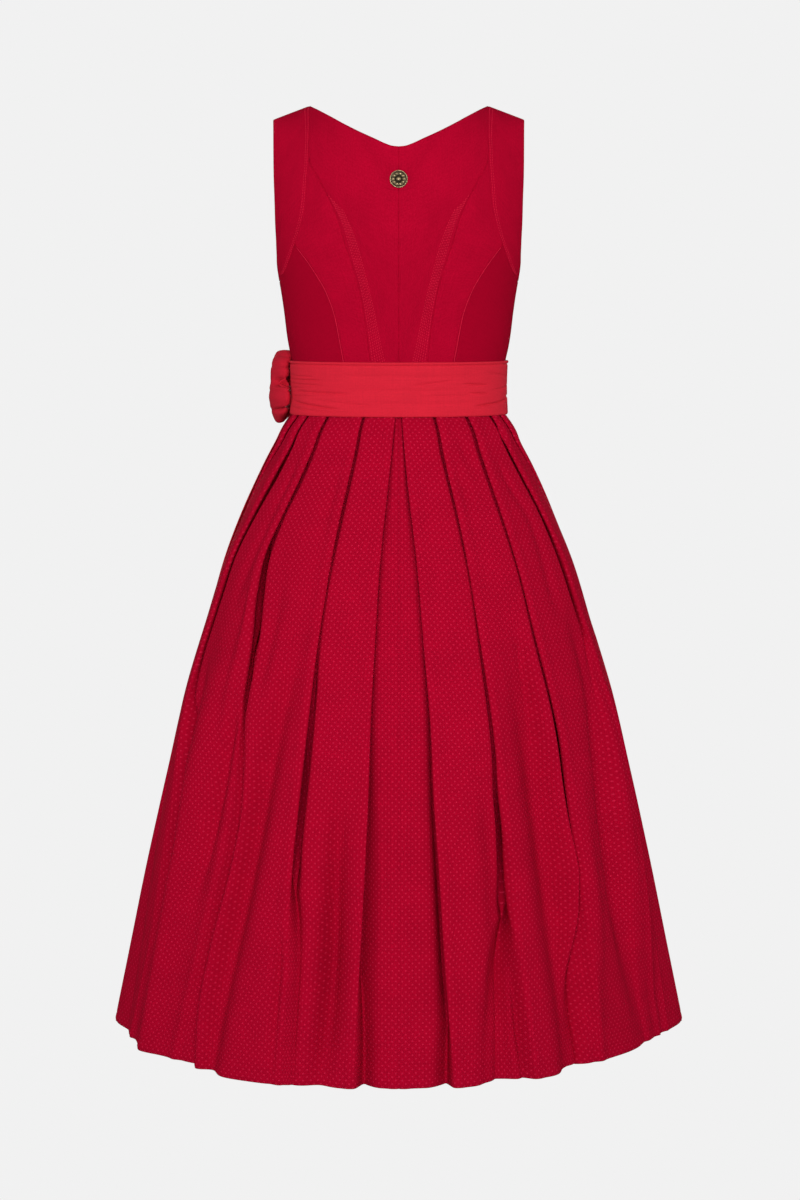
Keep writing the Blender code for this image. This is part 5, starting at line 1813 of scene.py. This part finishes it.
@dataclass
class Rosette:
    """A small turned ornament below the back neckline, with petals and a beaded rim."""

    bodice: Bodice
    height: float = -0.0885
    seat: float = 0.0009
    lean_over: float = 0.002
    petals: int = 10
    petal_depth: float = 0.0008
    petal_middle: float = 0.0062
    petal_width: float = 0.0022
    sides: int = 120
    profile: Table = metres(
        (0, 3.5), (1.2, 3.4), (2.2, 3), (2.9, 2.2), (3.4, 1.5), (4, 1.7), (4.8, 2.6), (6, 3.2),
        (7.4, 2.9), (8.4, 2), (8.8, 1.4), (9.3, 1.8), (9.9, 1.9), (10.4, 1.3), (10.5, 0.6), (10.1, 0))

    def build(self, finishes: Finishes) -> None:
        """Make the rosette."""
        reach = self.bodice.reach_of(self.bodice.shoulder_height(0.0) - self.height)
        seat = self.bodice.surface(np.array(0.0), reach)
        below = self.bodice.surface(np.array(0.0), reach + self.lean_over)
        tilt = math.atan2(float(seat[1] - below[1]), float(seat[2] - below[2]))
        turn = np.linspace(0.0, 2 * math.pi, self.sides, endpoint=False)
        radius, rise = (column[:, None] for column in np.array(self.profile[1:]).T)
        lobe = np.abs(np.cos(turn * self.petals / 2))[None, :]
        petal = bell(radius - self.petal_middle, self.petal_width)
        rise = np.maximum(rise - self.petal_depth * petal * (1 - lobe), 0.0)
        points = np.stack([radius * np.cos(turn), radius * np.sin(turn),
                           np.broadcast_to(rise, (len(radius), self.sides))], axis=-1)
        vertices = [(0.0, 0.0, self.profile[0][1]), *points.reshape(-1, 3).tolist(),
                    (0.0, 0.0, 0.0)]
        rings = [1 + row * self.sides for row in range(len(radius))]
        faces = []
        for left in range(self.sides):
            right = (left + 1) % self.sides
            faces.append((0, rings[0] + left, rings[0] + right))
            faces += [(upper + left, lower + left, lower + right, upper + right)
                      for upper, lower in zip(rings, rings[1:])]
            faces.append((rings[-1] + left, len(vertices) - 1, rings[-1] + right))
        mesh = new_mesh("rosette_brass", vertices, faces, finishes.made[finishes.brass.name])
        mesh.transform(Matrix.Translation((0.0, float(seat[1]) - self.seat, self.height))
                       @ Matrix.Rotation(math.pi / 2 - tilt, 4, "X"))
        dress(add_object("rosette_brass", mesh), ("back_rosette",))


# Studio

@dataclass
class Studio:
    """The pale floor, soft light and the camera behind the garment."""

    floor_height: float = -1.42
    floor_size: float = 14.0
    paper: float = 0.88
    floor_shade: float = 0.3
    floor_roughness: float = 0.9
    daylight_strength: float = 0.3
    lamp_spread: float = 90.0
    lamp_distance: float = 4.2
    lamp_size: float = 1.9
    lamp_drop: float = 0.3
    lamps: tuple[tuple[str, float, float, float], ...] = (
        ("back_softbox", 0.0, 0.4, 39.0), ("right_softbox", 72.0, 0.0, 11.0),
        ("left_softbox", -72.0, 0.0, 11.0), ("front_softbox", 180.0, 0.4, 39.0))
    camera_place: tuple[float, float, float] = (0.0015, -3.7, -0.2)
    picture_height: float = 1200.0
    lens_pixels: float = 3087.0
    look_down_pixels: float = 324.0
    sensor: float = 36.0

    def plain(self, name: str) -> bpy.types.Material:
        """An even pale material, which looks the same lit or in shade."""
        material, wiring, shader = new_material(name)
        wiring.fill(shader, {"Base Color": shade((self.floor_shade,) * 3),
                             "Roughness": self.floor_roughness})
        glow = wiring.out("ShaderNodeEmission", {"Color": shade((self.paper,) * 3)})
        self.seen_apart(wiring, "Material Output", shader.outputs[0], glow)
        return material

    def seen_apart(self, wiring: Wiring, output: str, lighting: bpy.types.NodeSocket,
                   shown: bpy.types.NodeSocket) -> None:
        """Wire up what lights the garment, and something else for the camera to see."""
        seen = wiring.add("ShaderNodeLightPath").outputs["Is Camera Ray"]
        mix = wiring.out("ShaderNodeMixShader", {0: seen, 1: lighting, 2: shown})
        wiring.fill(wiring.tree.nodes[output], {"Surface": mix})

    def floor(self) -> None:
        """Lay the floor."""
        half = self.floor_size / 2
        corners = [(x, y, self.floor_height)
                   for x, y in ((-half, -half), (half, -half), (half, half), (-half, half))]
        floor = add_object("floor", new_mesh("floor", corners, [(0, 1, 2, 3)], self.plain("pale_floor")))

    def daylight(self) -> None:
        """An even surrounding light behind a pale background."""
        world = bpy.data.worlds.new("studio")
        world.use_nodes = True
        bpy.context.scene.world = world
        wiring = Wiring(world.node_tree)
        around, behind = (wiring.out("ShaderNodeBackground", {"Color": WHITE, "Strength": strength})
                          for strength in (self.daylight_strength, self.paper))
        self.seen_apart(wiring, "World Output", around, behind)

    def lamp(self, name: str, turn: float, height: float, power: float) -> None:
        """Hang a square soft lamp.

        Args:
            name: The lamp's name.
            turn: Where it hangs round the garment, in degrees from the back.
            height: How high it hangs.
            power: Its power in watts.
        """
        light = bpy.data.lights.new(name, "AREA")
        light.size = self.lamp_size
        light.spread = math.radians(self.lamp_spread)
        light.energy = power
        lamp = add_object(name, light)
        lamp.location = (self.lamp_distance * math.sin(math.radians(turn)),
                         -self.lamp_distance * math.cos(math.radians(turn)), height)
        lamp.rotation_euler = (math.atan2(self.lamp_distance, self.lamp_drop), 0.0,
                               math.radians(turn))

    def camera(self) -> None:
        """Set the camera at the photograph's angle."""
        data = bpy.data.cameras.new("camera")
        data.sensor_fit = "VERTICAL"
        data.sensor_height = self.sensor
        data.lens = self.lens_pixels / self.picture_height * self.sensor
        camera = add_object("camera", data)
        camera.location = self.camera_place
        tilt = math.atan(self.look_down_pixels / self.lens_pixels)
        camera.rotation_euler = (math.pi / 2 - tilt, 0.0, 0.0)
        bpy.context.scene.camera = camera

    def build(self) -> None:
        """Set up the whole studio."""
        self.floor()
        self.daylight()
        for lamp in self.lamps:
            self.lamp(*lamp)
        self.camera()
        bpy.context.scene.view_settings.view_transform = "Standard"


def main() -> None:
    """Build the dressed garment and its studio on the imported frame."""
    logging.basicConfig(level=logging.INFO, format="%(name)s: %(message)s")
    for found in list(bpy.data.objects):
        bpy.data.objects.remove(found, do_unlink=True)
    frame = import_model()
    log.info("%d solids", len(frame["nodes"]))
    finishes = Finishes()
    finishes.build()
    bodice, skirt, sash = Bodice(), Skirt(), Sash()
    sash.build(finishes)
    bodice.build(finishes)
    skirt.build(finishes)
    Apron(skirt).build(finishes)
    Bow(skirt, sash).build(finishes)
    Rosette(bodice).build(finishes)
    Studio().build()


if __name__ == "__main__":
    main()
